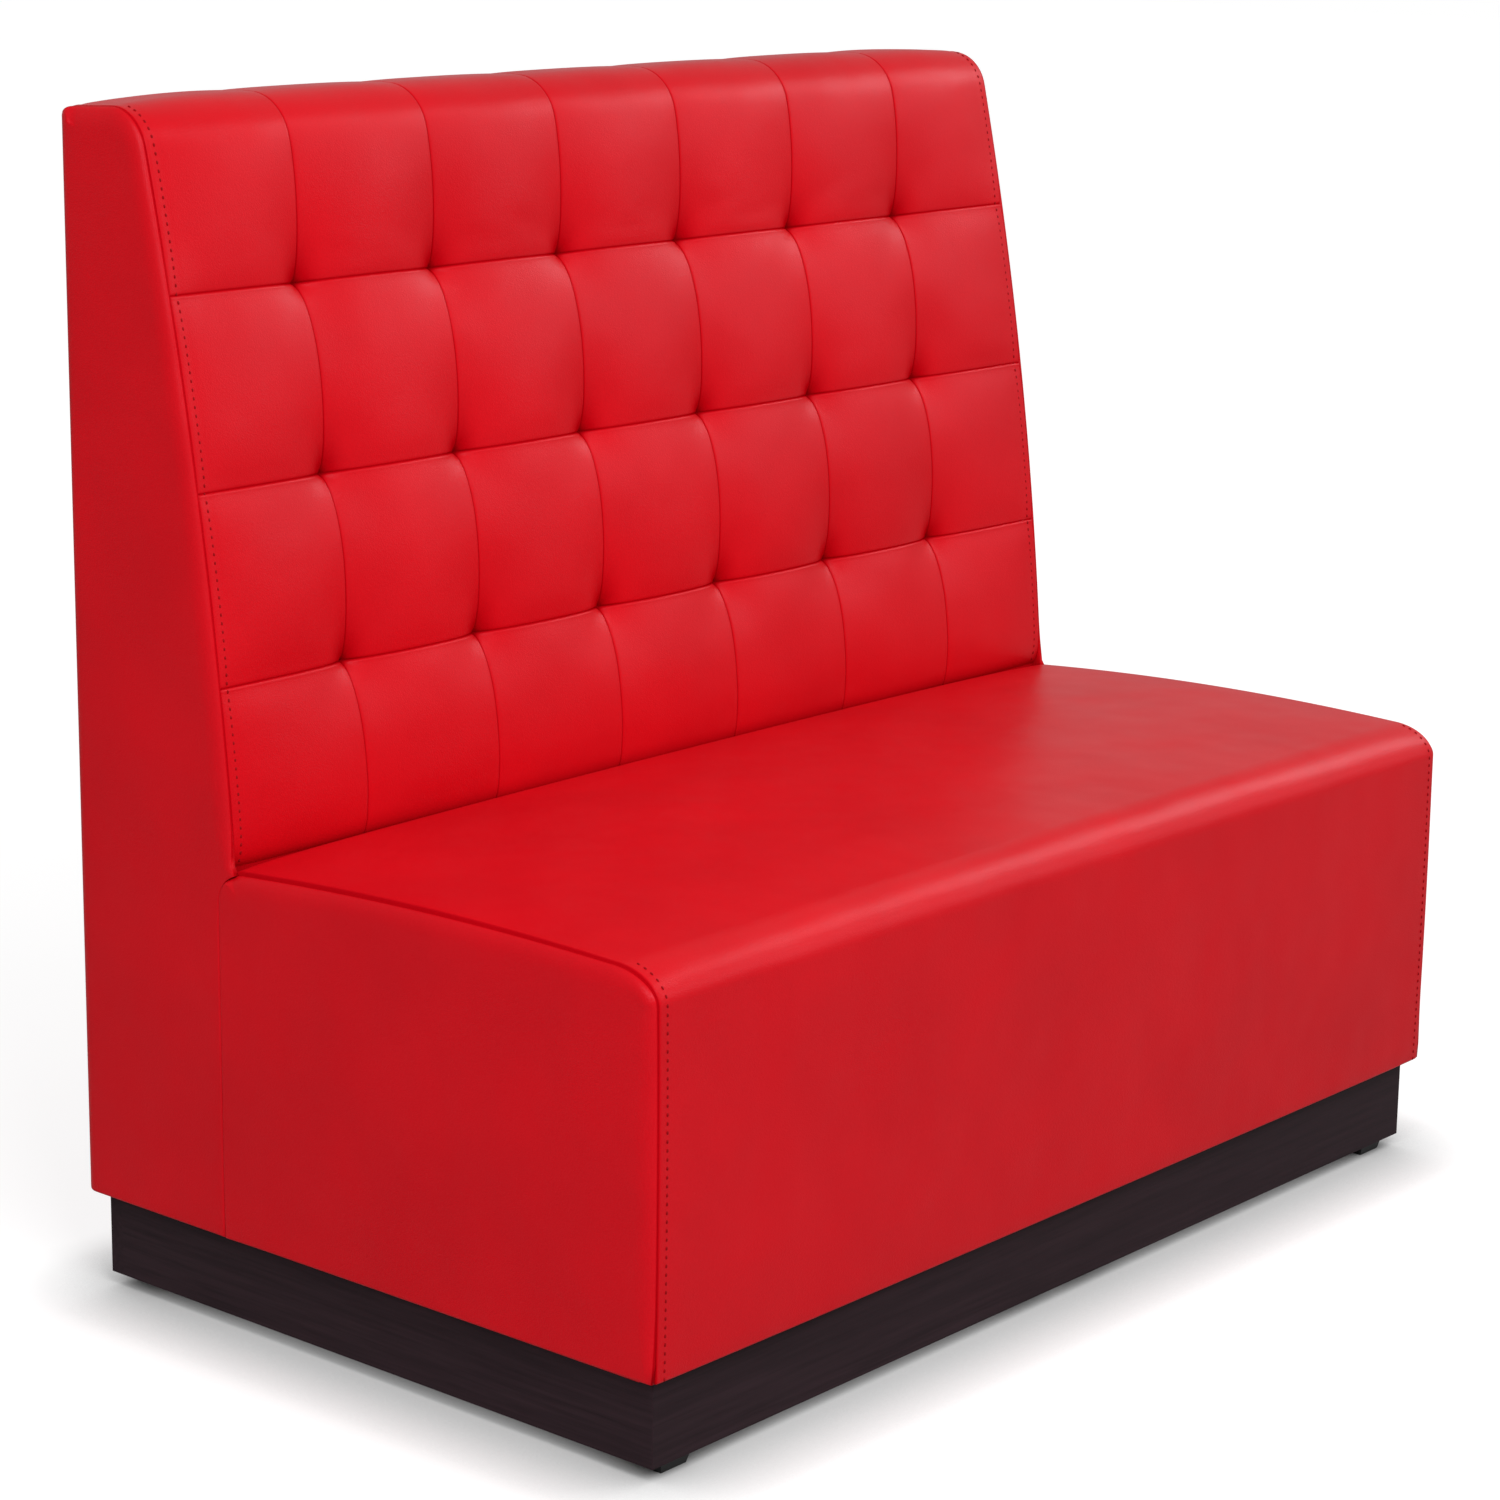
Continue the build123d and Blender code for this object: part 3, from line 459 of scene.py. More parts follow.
# %% [markdown]
# The side of the back is one smooth outline: a face that leans more and more towards the top, a rolled
# top edge, a short, nearly flat top and a rounded rear edge. The outline is measured along its own
# length, so that seams and puffs can be placed on it as a seamstress places them on the cloth.

# %% The outline that the back cover follows
# The back's thickness at three heights gives the curve of its face.
face_heights = (0.439, 0.7552, 1.053)
face_thickness = (0.209, 0.172, 0.113)
roll_radius = 0.042
top_side_drop = 0.007
top_rear_drop = 0.003
top_rear_radius = 0.018
cover_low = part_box("back_foam")[0].z
crease_height = 0.4405
tuft_heights = (0.600, 0.7695, 0.939)
columns = 7
pitch = 2 * half_length / columns
column_seams = [(i + 1 - columns / 2) * pitch for i in range(columns - 1)]


def face_depth(z):
    """How far back the face of the back lies at a height: a parabola through three measured points."""
    total = 0
    for i in range(3):
        term = rear - face_thickness[i]
        for j in range(3):
            if j != i:
                term = term * (z - face_heights[j]) / (face_heights[i] - face_heights[j])
        total = total + term
    return total


def arc(y, z, radius, start, end, count):
    """Points on a rounded edge about a centre, by angles from the front towards the top."""
    angles = np.linspace(start, end, count)
    return np.stack([y - radius * np.cos(angles), z + radius * np.sin(angles)], 1)


side_top = top - top_side_drop
lean_step = tuft_heights[1] - tuft_heights[0]
lean = math.atan((face_depth(face_heights[2]) - face_depth(face_heights[2] - lean_step)) / lean_step)
roll_start = side_top - roll_radius * (1 - math.sin(lean))
roll_y = face_depth(roll_start) + roll_radius * math.cos(lean)
roll_z = side_top - roll_radius
rear_y, rear_z = rear - top_rear_radius, side_top - top_rear_drop - top_rear_radius
face_count, roll_count, edge_count = 400, 80, 50
face_z = np.linspace(cover_low, roll_start, face_count)[:-1]
outline = np.concatenate([
    np.stack([face_depth(face_z), face_z], 1),
    arc(roll_y, roll_z, roll_radius, lean, math.pi / 2, roll_count),
    arc(rear_y, rear_z, top_rear_radius, math.pi / 2, math.pi, edge_count),
])
outline_run = np.concatenate([[0], np.cumsum(np.hypot(*np.diff(outline, axis=0).T))])
tangent = np.gradient(outline, outline_run, axis=0)
tangent /= np.hypot(*tangent.T)[:, None]
outline_out = np.stack([-tangent[:, 1], tangent[:, 0]], 1)
row_runs = [float(np.interp(z, face_z, outline_run[: len(face_z)])) for z in tuft_heights]
roll_run = float(outline_run[len(face_z)])
run_end = float(outline_run[-1])
print("outline length", round(run_end, 4), "rows at", [round(r, 4) for r in row_runs])


def on_outline(run):
    """Point and outward direction on the outline at a distance along it."""
    place = np.stack([np.interp(run, outline_run, outline[:, k]) for k in (0, 1)], -1)
    out = np.stack([np.interp(run, outline_run, outline_out[:, k]) for k in (0, 1)], -1)
    return place, out


# %% [markdown]
# A blind tuft is a stitch through foam and board that pulls the cover into a pit. The cover falls into
# the pit like a funnel: steep close to the stitch and almost flat a hand's width away. Below a tuft it
# springs out sooner than above one. Between the funnels the squares stand up as soft puffs. The level
# seams lie in narrow valleys and the upright ones hardly dip at all. A few short folds run out of each
# pit. All of this is one field: how far the cover is drawn in at each place. Most of its terms have a
# depth and a reach, which is the distance at which the term has faded to about a third.

# %% How far the back cover is drawn in
tuft_depth = 0.0185
row_valley, row_valley_reach = 0.0024, 0.009
column_valley, column_valley_reach = 0.0006, 0.005
puff_height, puff_across = 0.0030, 0.45
throat_depth, throat_reach = 0.0018, 0.0120
funnel_side, funnel_above, funnel_below = 0.032, 0.066, 0.024
funnel_power = 0.5
pit_depth, pit_width = 0.0026, 0.0032
top_seam_depth = 0.0009
top_end_power = 2.5
crease_depth, crease_reach = 0.009, 0.010

# Each fold has a direction from the pit in radians, a depth and a length.
fold_lines = ((0.95, 0.0012, 0.013), (2.35, 0.0009, 0.010), (-0.75, 0.0006, 0.009), (-2.4, 0.0006, 0.009))
fold_sharpness = 14
fold_start, fold_clear = 0.009, 0.004
fold_turn, fold_turn_column, fold_turn_row = 0.35, 2.1, 3.7

# Where puffs and valleys end or fade: at the ends of the bench, round the top and below the crease.
puff_end_fade, valley_end_fade = 0.07, 0.05
valley_at_end = 0.35
past_roll, roll_fade, rear_fade = 0.03, 0.06, 0.03
below_crease = 0.05

bottom_run = float(np.interp(crease_height, face_z, outline_run[: len(face_z)]))
row_stops = np.array([bottom_run - below_crease] + row_runs + [roll_run + past_roll])
column_stops = np.array([-half_length] + column_seams + [half_length])


def near(distance, reach):
    """1 on a line, falling away softly to both sides of it."""
    return np.exp(-np.abs(distance) / reach)


def drawn_in(x, run):
    """Depth of the cover below its outline, for arrays of x and of distance along the outline."""
    column = np.clip(np.searchsorted(column_stops, x, side="right") - 1, 0, columns - 1)
    across = np.clip((x - column_stops[column]) / pitch, 0, 1)
    row = np.clip(np.searchsorted(row_stops, run, side="right") - 1, 0, len(row_stops) - 2)
    up = np.clip((run - row_stops[row]) / (row_stops[row + 1] - row_stops[row]), 0, 1)
    puff = (1 - puff_across + puff_across * 4 * across * (1 - across)) * 4 * up * (1 - up)
    puff = puff * (1 - (1 - np.clip((half_length - np.abs(x)) / puff_end_fade, 0, 1)) ** 2)
    ends = np.clip((half_length - np.abs(x)) / valley_end_fade, 0, 1)
    on_face = np.clip((roll_run + past_roll - run) / roll_fade, 0, 1)
    to_column = np.min(np.abs(x[..., None] - np.array(column_seams)), -1)
    to_row = np.min(np.abs(run[..., None] - np.array(row_runs)), -1)
    depth = row_valley * near(to_row, row_valley_reach) * (valley_at_end + (1 - valley_at_end) * ends)
    depth = depth + column_valley * near(to_column, column_valley_reach) * on_face - puff_height * puff
    depth = depth + crease_depth * near(np.maximum(run - bottom_run, 0), crease_reach)
    for number, seam in enumerate(column_seams):
        for level, row_run in enumerate(row_runs):
            side, rise = x - seam, run - row_run
            rise_scale = np.where(rise > 0, funnel_above, funnel_below)
            far = (side / funnel_side) ** 2 + (rise / rise_scale) ** 2
            depth = depth + (tuft_depth - row_valley) * np.exp(-(far**funnel_power))
            away = np.hypot(side, rise)
            depth = depth + throat_depth * np.exp(-away / throat_reach)
            depth = depth + pit_depth * np.exp(-((away / pit_width) ** 2))
            angle = np.arctan2(rise, side)
            turn = fold_turn * math.sin(fold_turn_column * number + fold_turn_row * level)
            clear = np.clip(away / fold_clear, 0, 1)
            for toward, size, length in fold_lines:
                aim = np.cos((angle - toward - turn) / 2) ** (2 * fold_sharpness)
                depth = depth + size * aim * np.exp(-(((away - fold_start) / length) ** 2)) * clear
    return depth


def top_swell(x, run):
    """How far the rolled top stands above its ends, a little less at a seam than between two."""
    over = np.clip((run - row_runs[2]) / (roll_run - row_runs[2]), 0, 1)
    over = over * over * (3 - 2 * over)
    rear_share = np.clip((run_end - run) / rear_fade, 0, 1)
    ends = 1 - (1 - np.clip((half_length - np.abs(x)) / pitch, 0, 1)) ** top_end_power
    across = (x / pitch + columns / 2) % 1.0
    dip = (1 - 4 * across * (1 - across)) ** 2
    return over * rear_share * (top_side_drop * ends - top_seam_depth * dip * ends)


# %% [markdown]
# The back cushion is a loft of closed sections. Each one follows the drawn-in outline over the top, then
# returns along the front board inside, so that the piece is a closed foam form and not an open skin.
# A narrow groove is pressed in along each seam, where the two edges of the cloth fold under, and a small
# lip stands below each level seam. The seam value deepens the colour as painted shade: it is 1 in the
# pits, less along the level seams and the side edges, and least along the upright ones. It also rises
# in the crease behind the seat and in a soft patch above each tuft, both painted shade as well: above a
# tuft the cover turns away from the lamps, and its shape alone gives too little of it.

# %% The finished surface of the back cushion
seam_groove = 0.0008
seam_groove_width = 0.0009
seam_lip, seam_lip_place, seam_lip_width = 0.0005, 0.0020, 0.0012
fold_reach, fold_gain = 0.012, 1.2
edge_drop = 0.0008
edge_width = 0.0030
stitch_inset = 0.009
stitch_valley, stitch_valley_width = 0.00045, 0.0016
upright_share, seam_painted_shade = 0.75, 0.72
pit_painted_shade = 0.60
pit_shade, pit_shade_reach = 0.30, 0.007
above_shade, above_side, above_rise = 0.72, 0.017, 0.026
crease_shade, crease_shade_reach = 0.55, 0.006


def groove(distance):
    """1 at the bottom of a seam's narrow groove, and 0 outside it."""
    return np.exp(-((distance / seam_groove_width) ** 2))


def over_tufts(run, reach):
    """1 at a row of tufts, falling away above it and 0 below it."""
    return sum(np.exp(-np.maximum(run - row_run, 0) / reach) * (run >= row_run) for row_run in row_runs)


def back_surface(x, run):
    """Points of the back cover and their seam values, for arrays of x and distance along the outline."""
    x, run = np.broadcast_arrays(x, run)
    place, out = on_outline(run)
    to_column = np.min(np.abs(x[..., None] - np.array(column_seams)), -1)
    from_rows = run[..., None] - np.array(row_runs)
    to_row = np.min(np.abs(from_rows), -1)
    to_tuft = np.hypot(to_column, to_row)
    fold_and_painted_shade = np.maximum(upright_share * groove(to_column), groove(to_row))
    near_tuft = np.exp(-to_tuft / fold_reach)
    lip = np.max(np.exp(-(((from_rows + seam_lip_place) / seam_lip_width) ** 2)), -1) * seam_lip
    depth = drawn_in(x, run) - top_swell(x, run) + fold_and_painted_shade * seam_groove * (1 + fold_gain * near_tuft) - lip
    from_edge = np.clip((seam_half - np.abs(x)) / edge_width, 0, 1)
    depth = depth + edge_drop * (1 - np.sqrt(1 - (1 - from_edge) ** 2))
    from_stitches = seam_half - np.abs(x) - stitch_inset
    depth = depth + stitch_valley * np.exp(-((from_stitches / stitch_valley_width) ** 2))
    y = place[..., 0] - out[..., 0] * depth
    z = place[..., 1] - out[..., 1] * depth
    # Painted shade: the seam value below deepens the colour along seams and side edges, in the pits, in the
    # crease and above each tuft.
    edge = groove(from_edge * edge_width)
    pit = pit_painted_shade * np.exp(-((to_tuft / pit_width) ** 2)) + pit_shade * np.exp(-to_tuft / pit_shade_reach)
    crease = crease_shade * near(np.maximum(run - bottom_run, 0), crease_shade_reach)
    above = above_shade * np.exp(-((to_column / above_side) ** 2)) * over_tufts(run, above_rise)
    tone = np.maximum(fold_and_painted_shade, edge) * seam_painted_shade + pit + crease + above
    return np.stack([x, y, z], -1), np.clip(tone, 0, 1)


# %% Build the back cushion
rear_corner = 0.015
corner_clearance = 0.0016
squeeze_start = 0.55
board_low, board_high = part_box("back_front_board")
board_thickness = 0.010
foam_back = (board_low.y, board_high.y - board_thickness)
board_gap, over_board = 0.0005, 0.001
cover_turn, cover_tuck = 0.003, 0.005
inner_heights = (0.9, 0.7, 0.5)


def rear_half_width(y):
    """Half width of the back at a depth: straight, then rounded at the rear corners."""
    inside = rear_corner - corner_clearance
    bend = np.clip(y - (rear - rear_corner), 0, inside)
    return np.minimum(seam_half, half_length - rear_corner + np.sqrt(inside**2 - bend**2))


def inner_face(z):
    """The line of the board behind the foam, at a height."""
    return foam_back[0] + (foam_back[1] - foam_back[0]) * (z - board_low.z) / (board_high.z - board_low.z)


def build_back_cushion(step, swell=None):
    """Lofts the back cushion, with the movement that swell gives added to its face."""
    xs = spread(-seam_half, seam_half, step, column_seams)
    runs = spread(0.0, run_end, step, [bottom_run] + row_runs)
    surface, fold_and_painted_shade = back_surface(xs[:, None], runs[None, :])
    if swell is not None:
        surface = surface + swell(xs, runs)
    limit = rear_half_width(surface[..., 1])
    ease = np.clip((np.abs(surface[..., 0]) - squeeze_start) / (seam_half - squeeze_start), 0, 1)
    squeezed = np.sign(surface[..., 0]) * (squeeze_start + ease * (limit - squeeze_start))
    surface[..., 0] = np.where(ease > 0, squeezed, surface[..., 0])
    inner = [(rear - cover_turn, outline[-1, 1]), (rear - cover_tuck, board_high.z + over_board)]
    inner += [(inner_face(z) - board_gap, z + over_board) for z in (board_high.z, *inner_heights)]
    inner += [(inner_face(cover_low) - board_gap, cover_low)]
    behind = np.array([[(x, y, z) for y, z in inner] for x in surface[:, -1, 0]])
    depths = np.concatenate([fold_and_painted_shade, np.zeros(behind.shape[:2])], 1).ravel()
    return loft_piece("back_cushion", np.concatenate([surface, behind], 1), red, depths)


# %% [markdown]
# The shape so far is drawn. To let the cover settle as cloth does, a coarse sheet of it is simulated: it
# is held along its border, at the level seams with their tufts and below the crease, and the foam behind
# pushes it outwards as a pressure. The sheet's movement is evened along the bench, because a coarse sheet
# also buckles into small slanting wrinkles. It is held back in the funnel above each tuft, made smaller
# above the top row of tufts, and then added to the fine surface.

# %% Helpers that let a sheet settle as cloth
cloth_frames = 20


def settle(points, held, pressure, limit):
    """Simulates a grid of points as held cloth under pressure, and gives each point's movement."""
    count, size = points.shape[:2]
    faces = [
        (i * size + j, (i + 1) * size + j, (i + 1) * size + j + 1, i * size + j + 1)
        for i in range(count - 1) for j in range(size - 1)
    ]
    mesh = bpy.data.meshes.new("settling_sheet")
    mesh.from_pydata(points.reshape(-1, 3).tolist(), [], faces)
    sheet = bpy.data.objects.new("settling_sheet", mesh)
    bpy.context.scene.collection.objects.link(sheet)
    group = sheet.vertex_groups.new(name="held")
    group.add([int(i) for i in np.flatnonzero(held.ravel())], 1.0, "REPLACE")
    cloth = sheet.modifiers.new("cloth", "CLOTH")
    settings = cloth.settings
    settings.quality = 5
    settings.mass = 0.1
    settings.air_damping = 1.0
    settings.tension_stiffness = settings.compression_stiffness = 15.0
    settings.shear_stiffness = 5.0
    settings.bending_stiffness = 0.5
    settings.vertex_group_mass = "held"
    settings.use_pressure = True
    settings.uniform_pressure_force = pressure
    settings.effector_weights.gravity = 0.0
    cloth.collision_settings.use_collision = False
    cloth.point_cache.frame_start, cloth.point_cache.frame_end = 1, cloth_frames
    for frame_number in range(1, cloth_frames + 1):
        bpy.context.scene.frame_set(frame_number)
    evaluated = sheet.evaluated_get(bpy.context.evaluated_depsgraph_get())
    settled = np.empty(count * size * 3, np.float32)
    evaluated.data.vertices.foreach_get("co", settled)
    sheet.modifiers.remove(cloth)
    bpy.data.objects.remove(sheet)
    bpy.context.scene.frame_set(1)
    moved = settled.reshape(count, size, 3) - points
    far = np.linalg.norm(moved, axis=-1, keepdims=True)
    return moved * limit / (limit + far)


def between(grid, old_xs, old_runs, xs, runs):
    """Values of a coarse grid at the places of a finer one, by their four neighbours."""
    i = np.clip(np.searchsorted(old_xs, xs) - 1, 0, len(old_xs) - 2)
    j = np.clip(np.searchsorted(old_runs, runs) - 1, 0, len(old_runs) - 2)
    u = ((xs - old_xs[i]) / (old_xs[i + 1] - old_xs[i]))[:, None, None]
    v = ((runs - old_runs[j]) / (old_runs[j + 1] - old_runs[j]))[None, :, None]
    a, b = grid[i][:, j], grid[i + 1][:, j]
    c, d = grid[i][:, j + 1], grid[i + 1][:, j + 1]
    return (a * (1 - u) + b * u) * (1 - v) + (c * (1 - u) + d * u) * v


def even_stops(stops, step):
    """Evenly divided places that keep every stop."""
    places = [stops[0]]
    for a, b in zip(stops, stops[1:]):
        places += list(np.linspace(a, b, max(2, round((b - a) / step) + 1))[1:])
    return np.array(places)


# %% Let the back cover settle and build the cushion
cloth_pressure = 4.0
cloth_step = 0.0085
cloth_limit = 0.0042
evening_rounds = 4
tied_side, tied_rise = 0.022, 0.045
top_share = 0.4
back_step = 0.0065
back_swell = None
sheet_xs = even_stops([-seam_half] + column_seams + [seam_half], cloth_step)
sheet_runs = even_stops([0.0, bottom_run] + row_runs + [roll_run, run_end], cloth_step)
sheet_points = back_surface(sheet_xs[:, None], sheet_runs[None, :])[0]
held = np.zeros(sheet_points.shape[:2], bool)
held[[0, -1], :] = held[:, [0, -1]] = True
for run in row_runs + [bottom_run]:
    held[:, np.argmin(np.abs(sheet_runs - run))] = True
held[:, sheet_runs < bottom_run] = True
movement = settle(sheet_points, held, cloth_pressure, cloth_limit)
for _ in range(evening_rounds):
    movement[1:-1] = movement[1:-1] / 2 + (movement[:-2] + movement[2:]) / 4
from_column = np.min(np.abs(sheet_xs[:, None] - np.array(column_seams)), -1)
tied = np.exp(-((from_column / tied_side) ** 2))[:, None] * over_tufts(sheet_runs, tied_rise)[None, :]
movement = movement * (1 - np.clip(tied, 0, 1))[..., None]
movement[:, sheet_runs > row_runs[2]] *= top_share
print("cloth moved", round(float(np.abs(movement).max()) * 1000, 2), "mm at most")

def back_swell(xs, runs):
    """The cloth's movement at the places of the fine surface."""
    return between(movement, sheet_xs, sheet_runs, xs, runs)

back_cushion = build_back_cushion(back_step, back_swell)

# %% [markdown]
# The seat cushion is one panel of cloth wrapped from under the front edge over the top and down behind.
# Its section is fuller and higher in the middle than at the side seams, where the cloth is held down.
# The front edge is a quarter of an ellipse: foam under a drawn cover rolls over
# early and then falls steeply. Along the side seams, and towards the crease where seat and back meet,
# the seam value rises and deepens the colour, which is painted shade.

# %% The line that the seat cover follows
front_draw = 0.004
front_bulge = 0.0012
front_radius, front_swell = 0.027, 0.009
nose_reach, nose_gather = 0.052, 0.010
front_crown = 0.008
seat_arch = 0.0015
middle_crown = 0.012
rear_drop, rear_crown = 0.009, 0.012
rear_radius = 0.028
crown_power = 0.3
hem_round = 0.003
hem_count, front_count, nose_count, top_count, rear_count = 5, 24, 24, 60, 30


def bowed(a, b, bow, count):
    """Points from a to b with a gentle bow to the left of the way."""
    share = np.linspace(0, 1, count)[:, None]
    a, b = np.array(a), np.array(b)
    way = b - a
    side = np.array([-way[1], way[0]]) / np.hypot(*way)
    return a + way * share + side * (bow * (1 - (2 * share - 1) ** 2))


def seat_shell(x):
    """The seat's outside line at x, from the hem below the front to the edge behind."""
    crown = max(1 - (x / half_length) ** 2, 0.0) ** crown_power
    draw = front_draw * (1 - crown)
    edge = front + draw + front_bulge
    radius = front_radius + front_swell * crown
    front_top = seat_seam_height + front_crown * crown
    middle_top = seat_seam_height + seat_arch + middle_crown * crown
    rear_top = seat_seam_height - rear_drop + rear_crown * crown
    reach = nose_reach - nose_gather * crown
    nose_y, nose_z = edge + reach, front_top - radius
    back_y, back_z = seat_rear - rear_radius, rear_top - rear_radius
    arch = middle_top - (front_top + rear_top) / 2
    return np.concatenate([
        arc(edge + hem_round, hem_low + hem_round, hem_round, -math.pi / 2, 0, hem_count)[:-1],
        bowed((edge, hem_low + hem_round), (edge, nose_z), front_bulge, front_count)[:-1],
        (arc(0, 0, 1, 0, math.pi / 2, nose_count) * [reach, radius] + [nose_y, nose_z])[:-1],
        bowed((nose_y, front_top), (back_y, rear_top), arch, top_count)[:-1],
        arc(back_y, back_z, rear_radius, math.pi / 2, math.pi, rear_count),
    ])


# %% Build the seat cushion
seat_step = 0.012
foam_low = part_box("seat_support_cloth")[1].z + 0.0002
inner_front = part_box("seat_front_panel")[0].y - 0.0003
inner_reach, inner_height = 0.1, 0.2
flange_end = front + 0.016
seat_seam_painted_shade = 0.5
crease_start, crease_power, crease_painted_shade = 0.1435, 0.5, 0.75


def build_seat_cushion(step):
    """Lofts the seat cushion: its cover outside, and its foam back along the panels and webbing."""
    sections, depths = [], []
    for x in spread(-seam_half, seam_half, step):
        from_edge = min(max(seam_half - abs(x), 0.0) / edge_width, 1)
        drop = edge_drop * (1 - math.sqrt(1 - (1 - from_edge) ** 2))
        shell = seat_shell(x)
        way = np.gradient(shell, axis=0)
        way /= np.hypot(*way.T)[:, None]
        shell = shell + np.stack([way[:, 1], -way[:, 0]], 1) * drop
        section = np.concatenate([
            shell,
            [(seat_rear, foam_low), (inner_front + inner_reach, foam_low)],
            [(inner_front, foam_low), (inner_front, inner_height)],
            [(inner_front, hem_top), (flange_end, hem_top), (flange_end, hem_low)],
        ])
        sections.append(np.column_stack([np.full(len(section), x), section]))
        # Painted shade: the seam value deepens the colour along the side seams and over the rear edge
        # towards the crease.
        fold = seat_seam_painted_shade * math.exp(-((from_edge * edge_width / seam_groove_width) ** 2))
        shade = np.clip((shell[:, 0] - crease_start) / (seat_rear - crease_start), 0, 1) ** crease_power
        depths.append([max(fold, crease_painted_shade * s) for s in shade] + [0.0] * (len(section) - len(shell)))
    return loft_piece("seat_cushion", np.array(sections), red, np.ravel(depths))


seat_cushion = build_seat_cushion(seat_step)

# %% [markdown]
# The side panels are cut flat and padded, and they roll over at the edge into the seam. Each is made
# from its outline: rings step inwards, and out to the face of the panel, to make the rolled edge, and
# the flat middle is filled with even triangles. The rear corner of the back is round in plan, so the
# outline is drawn as if the panel were unrolled and then bent round that corner.

# %% Helpers for the side panels
rear_bend = rear_corner * math.pi / 2
bend_parts = 8
ring_shares = (0.0, 0.01, 0.03, 0.07, 0.14, 0.24, 0.38, 0.55, 0.76, 1.0)
panel_grid = 0.016
row_share = 0.87
clear_of_ring, clear_of_bend = 0.12, 0.6
panel_seam_narrowing, panel_seam_painted_shade = 3.2, 0.6
least_seam_drop = 0.003


def inward(points, widths):
    """The outline moved inwards by its own width at each point."""
    before, after = np.roll(points, 1, 0), np.roll(points, -1, 0)
    way_in, way_out = points - before, after - points
    n1 = np.stack([-way_in[:, 1], way_in[:, 0]], 1) / np.hypot(*way_in.T)[:, None]
    n2 = np.stack([-way_out[:, 1], way_out[:, 0]], 1) / np.hypot(*way_out.T)[:, None]
    bisector = n1 + n2
    bisector /= np.maximum((bisector * n1).sum(1), 0.6)[:, None]
    return points + bisector * widths[:, None]


def within(loop, point):
    """Whether a point lies inside a closed outline."""
    y, z = point
    a, b = loop, np.roll(loop, -1, 0)
    crosses = (a[:, 1] > z) != (b[:, 1] > z)
    with np.errstate(divide="ignore", invalid="ignore"):
        at = a[:, 0] + (z - a[:, 1]) * (b[:, 0] - a[:, 0]) / (b[:, 1] - a[:, 1])
    return bool(np.sum(crosses & (y < at)) % 2)


def padded_panel(name, points, widths, drops, to_space, thickness, material):
    """A closed flat cushion with a rolled edge. Points run anticlockwise in the panel's own plane."""
    bm = bmesh.new()
    rings, depths = [], []
    for share in ring_shares:
        ring = inward(points, widths * share)
        sink = drops * (1 - math.sqrt(1 - (1 - share) ** 2))
        rings.append([bm.verts.new(to_space(p, s)) for p, s in zip(ring, sink)])
        # Painted shade: the seam value deepens the colour on the roll beside the seam, where the edge drops
        # deep enough.
        seam = groove(share * widths * panel_seam_narrowing) * panel_seam_painted_shade
        depths += list(seam * (drops > least_seam_drop))
    count = len(points)
    for outer, inner in zip(rings, rings[1:]):
        for i in range(count):
            j = (i + 1) % count
            bm.faces.new((outer[i], outer[j], inner[j], inner[i]))
    last = inward(points, widths)
    inner_edge = inward(points, widths + panel_grid * clear_of_ring)
    low, high = last.min(0), last.max(0)
    flat_end = min(high[0], rear - rear_corner)
    flat_ys = np.arange(low[0], flat_end - panel_grid * clear_of_bend, panel_grid)
    lines = [[y + panel_grid / 2 * odd for y in flat_ys] for odd in (0, 1)]
    bends = [rear - rear_corner + rear_bend * k / bend_parts for k in range(bend_parts + 1)]
    inside = [
        (y, z)
        for row, z in enumerate(np.arange(low[1] + panel_grid / 2, high[1], panel_grid * row_share))
        for y in lines[row % 2] + bends
        if within(inner_edge, (y, z))
    ]
    flat = [Vector(p) for p in last] + [Vector(p) for p in inside]
    loop = [(i, (i + 1) % count) for i in range(count)]
    found, _, triangles, origins, _, _ = delaunay_2d_cdt(flat, loop, [], 1, 1e-7)
    verts = [
        rings[-1][origin[0]] if origin and origin[0] < count else bm.verts.new(to_space(place, 0.0))
        for place, origin in zip(found, origins)
    ]
    for triangle in triangles:
        bm.faces.new([verts[i] for i in triangle])
    back = [bm.verts.new(to_space(p, thickness(p[0]))) for p in points]
    for i in range(count):
        j = (i + 1) % count
        bm.faces.new((rings[0][j], rings[0][i], back[i], back[j]))
    bm.faces.new(list(reversed(back)))
    return finish_mesh(name, bm, material, depths)


# %% Build the side panels
rear_end_run = rear - rear_corner + rear_bend
panel_fill = 0.0068
outline_step = 0.012
easing_rounds = 8
wall_reach = 0.012
crease_angle = 1.9
side_seam_start, side_seam_thinning = 0.440, 6

# Each style of edge has the width of its roll and the depth that it drops.
edge_styles = {
    "seam": (0.020, 0.0066), "nose": (0.012, 0.0062), "rear": (0.003, 0.0010),
    "hem": (0.003, 0.0026), "wall": (0.0012, 0.0003),
}


def side_space(sign):
    """Maps the unrolled side panel, and a depth below its surface, to the side of the bench."""
    def place(point, sink):
        run, z = point
        bend = (run - (rear - rear_corner)) / rear_corner
        if bend <= 0:
            return (sign * (half_length - sink), run, z)
        radius = rear_corner - sink
        x = half_length - rear_corner + radius * math.cos(bend)
        return (sign * x, rear - rear_corner + radius * math.sin(bend), z)
    return place


def panel_thickness(run):
    """The padding thins round the rear corner, until only the cover is left at its end."""
    bend = min(max((run - (rear - rear_corner)) / rear_bend, 0.0), 1.0)
    return panel_fill + (cover_thickness - panel_fill) * bend


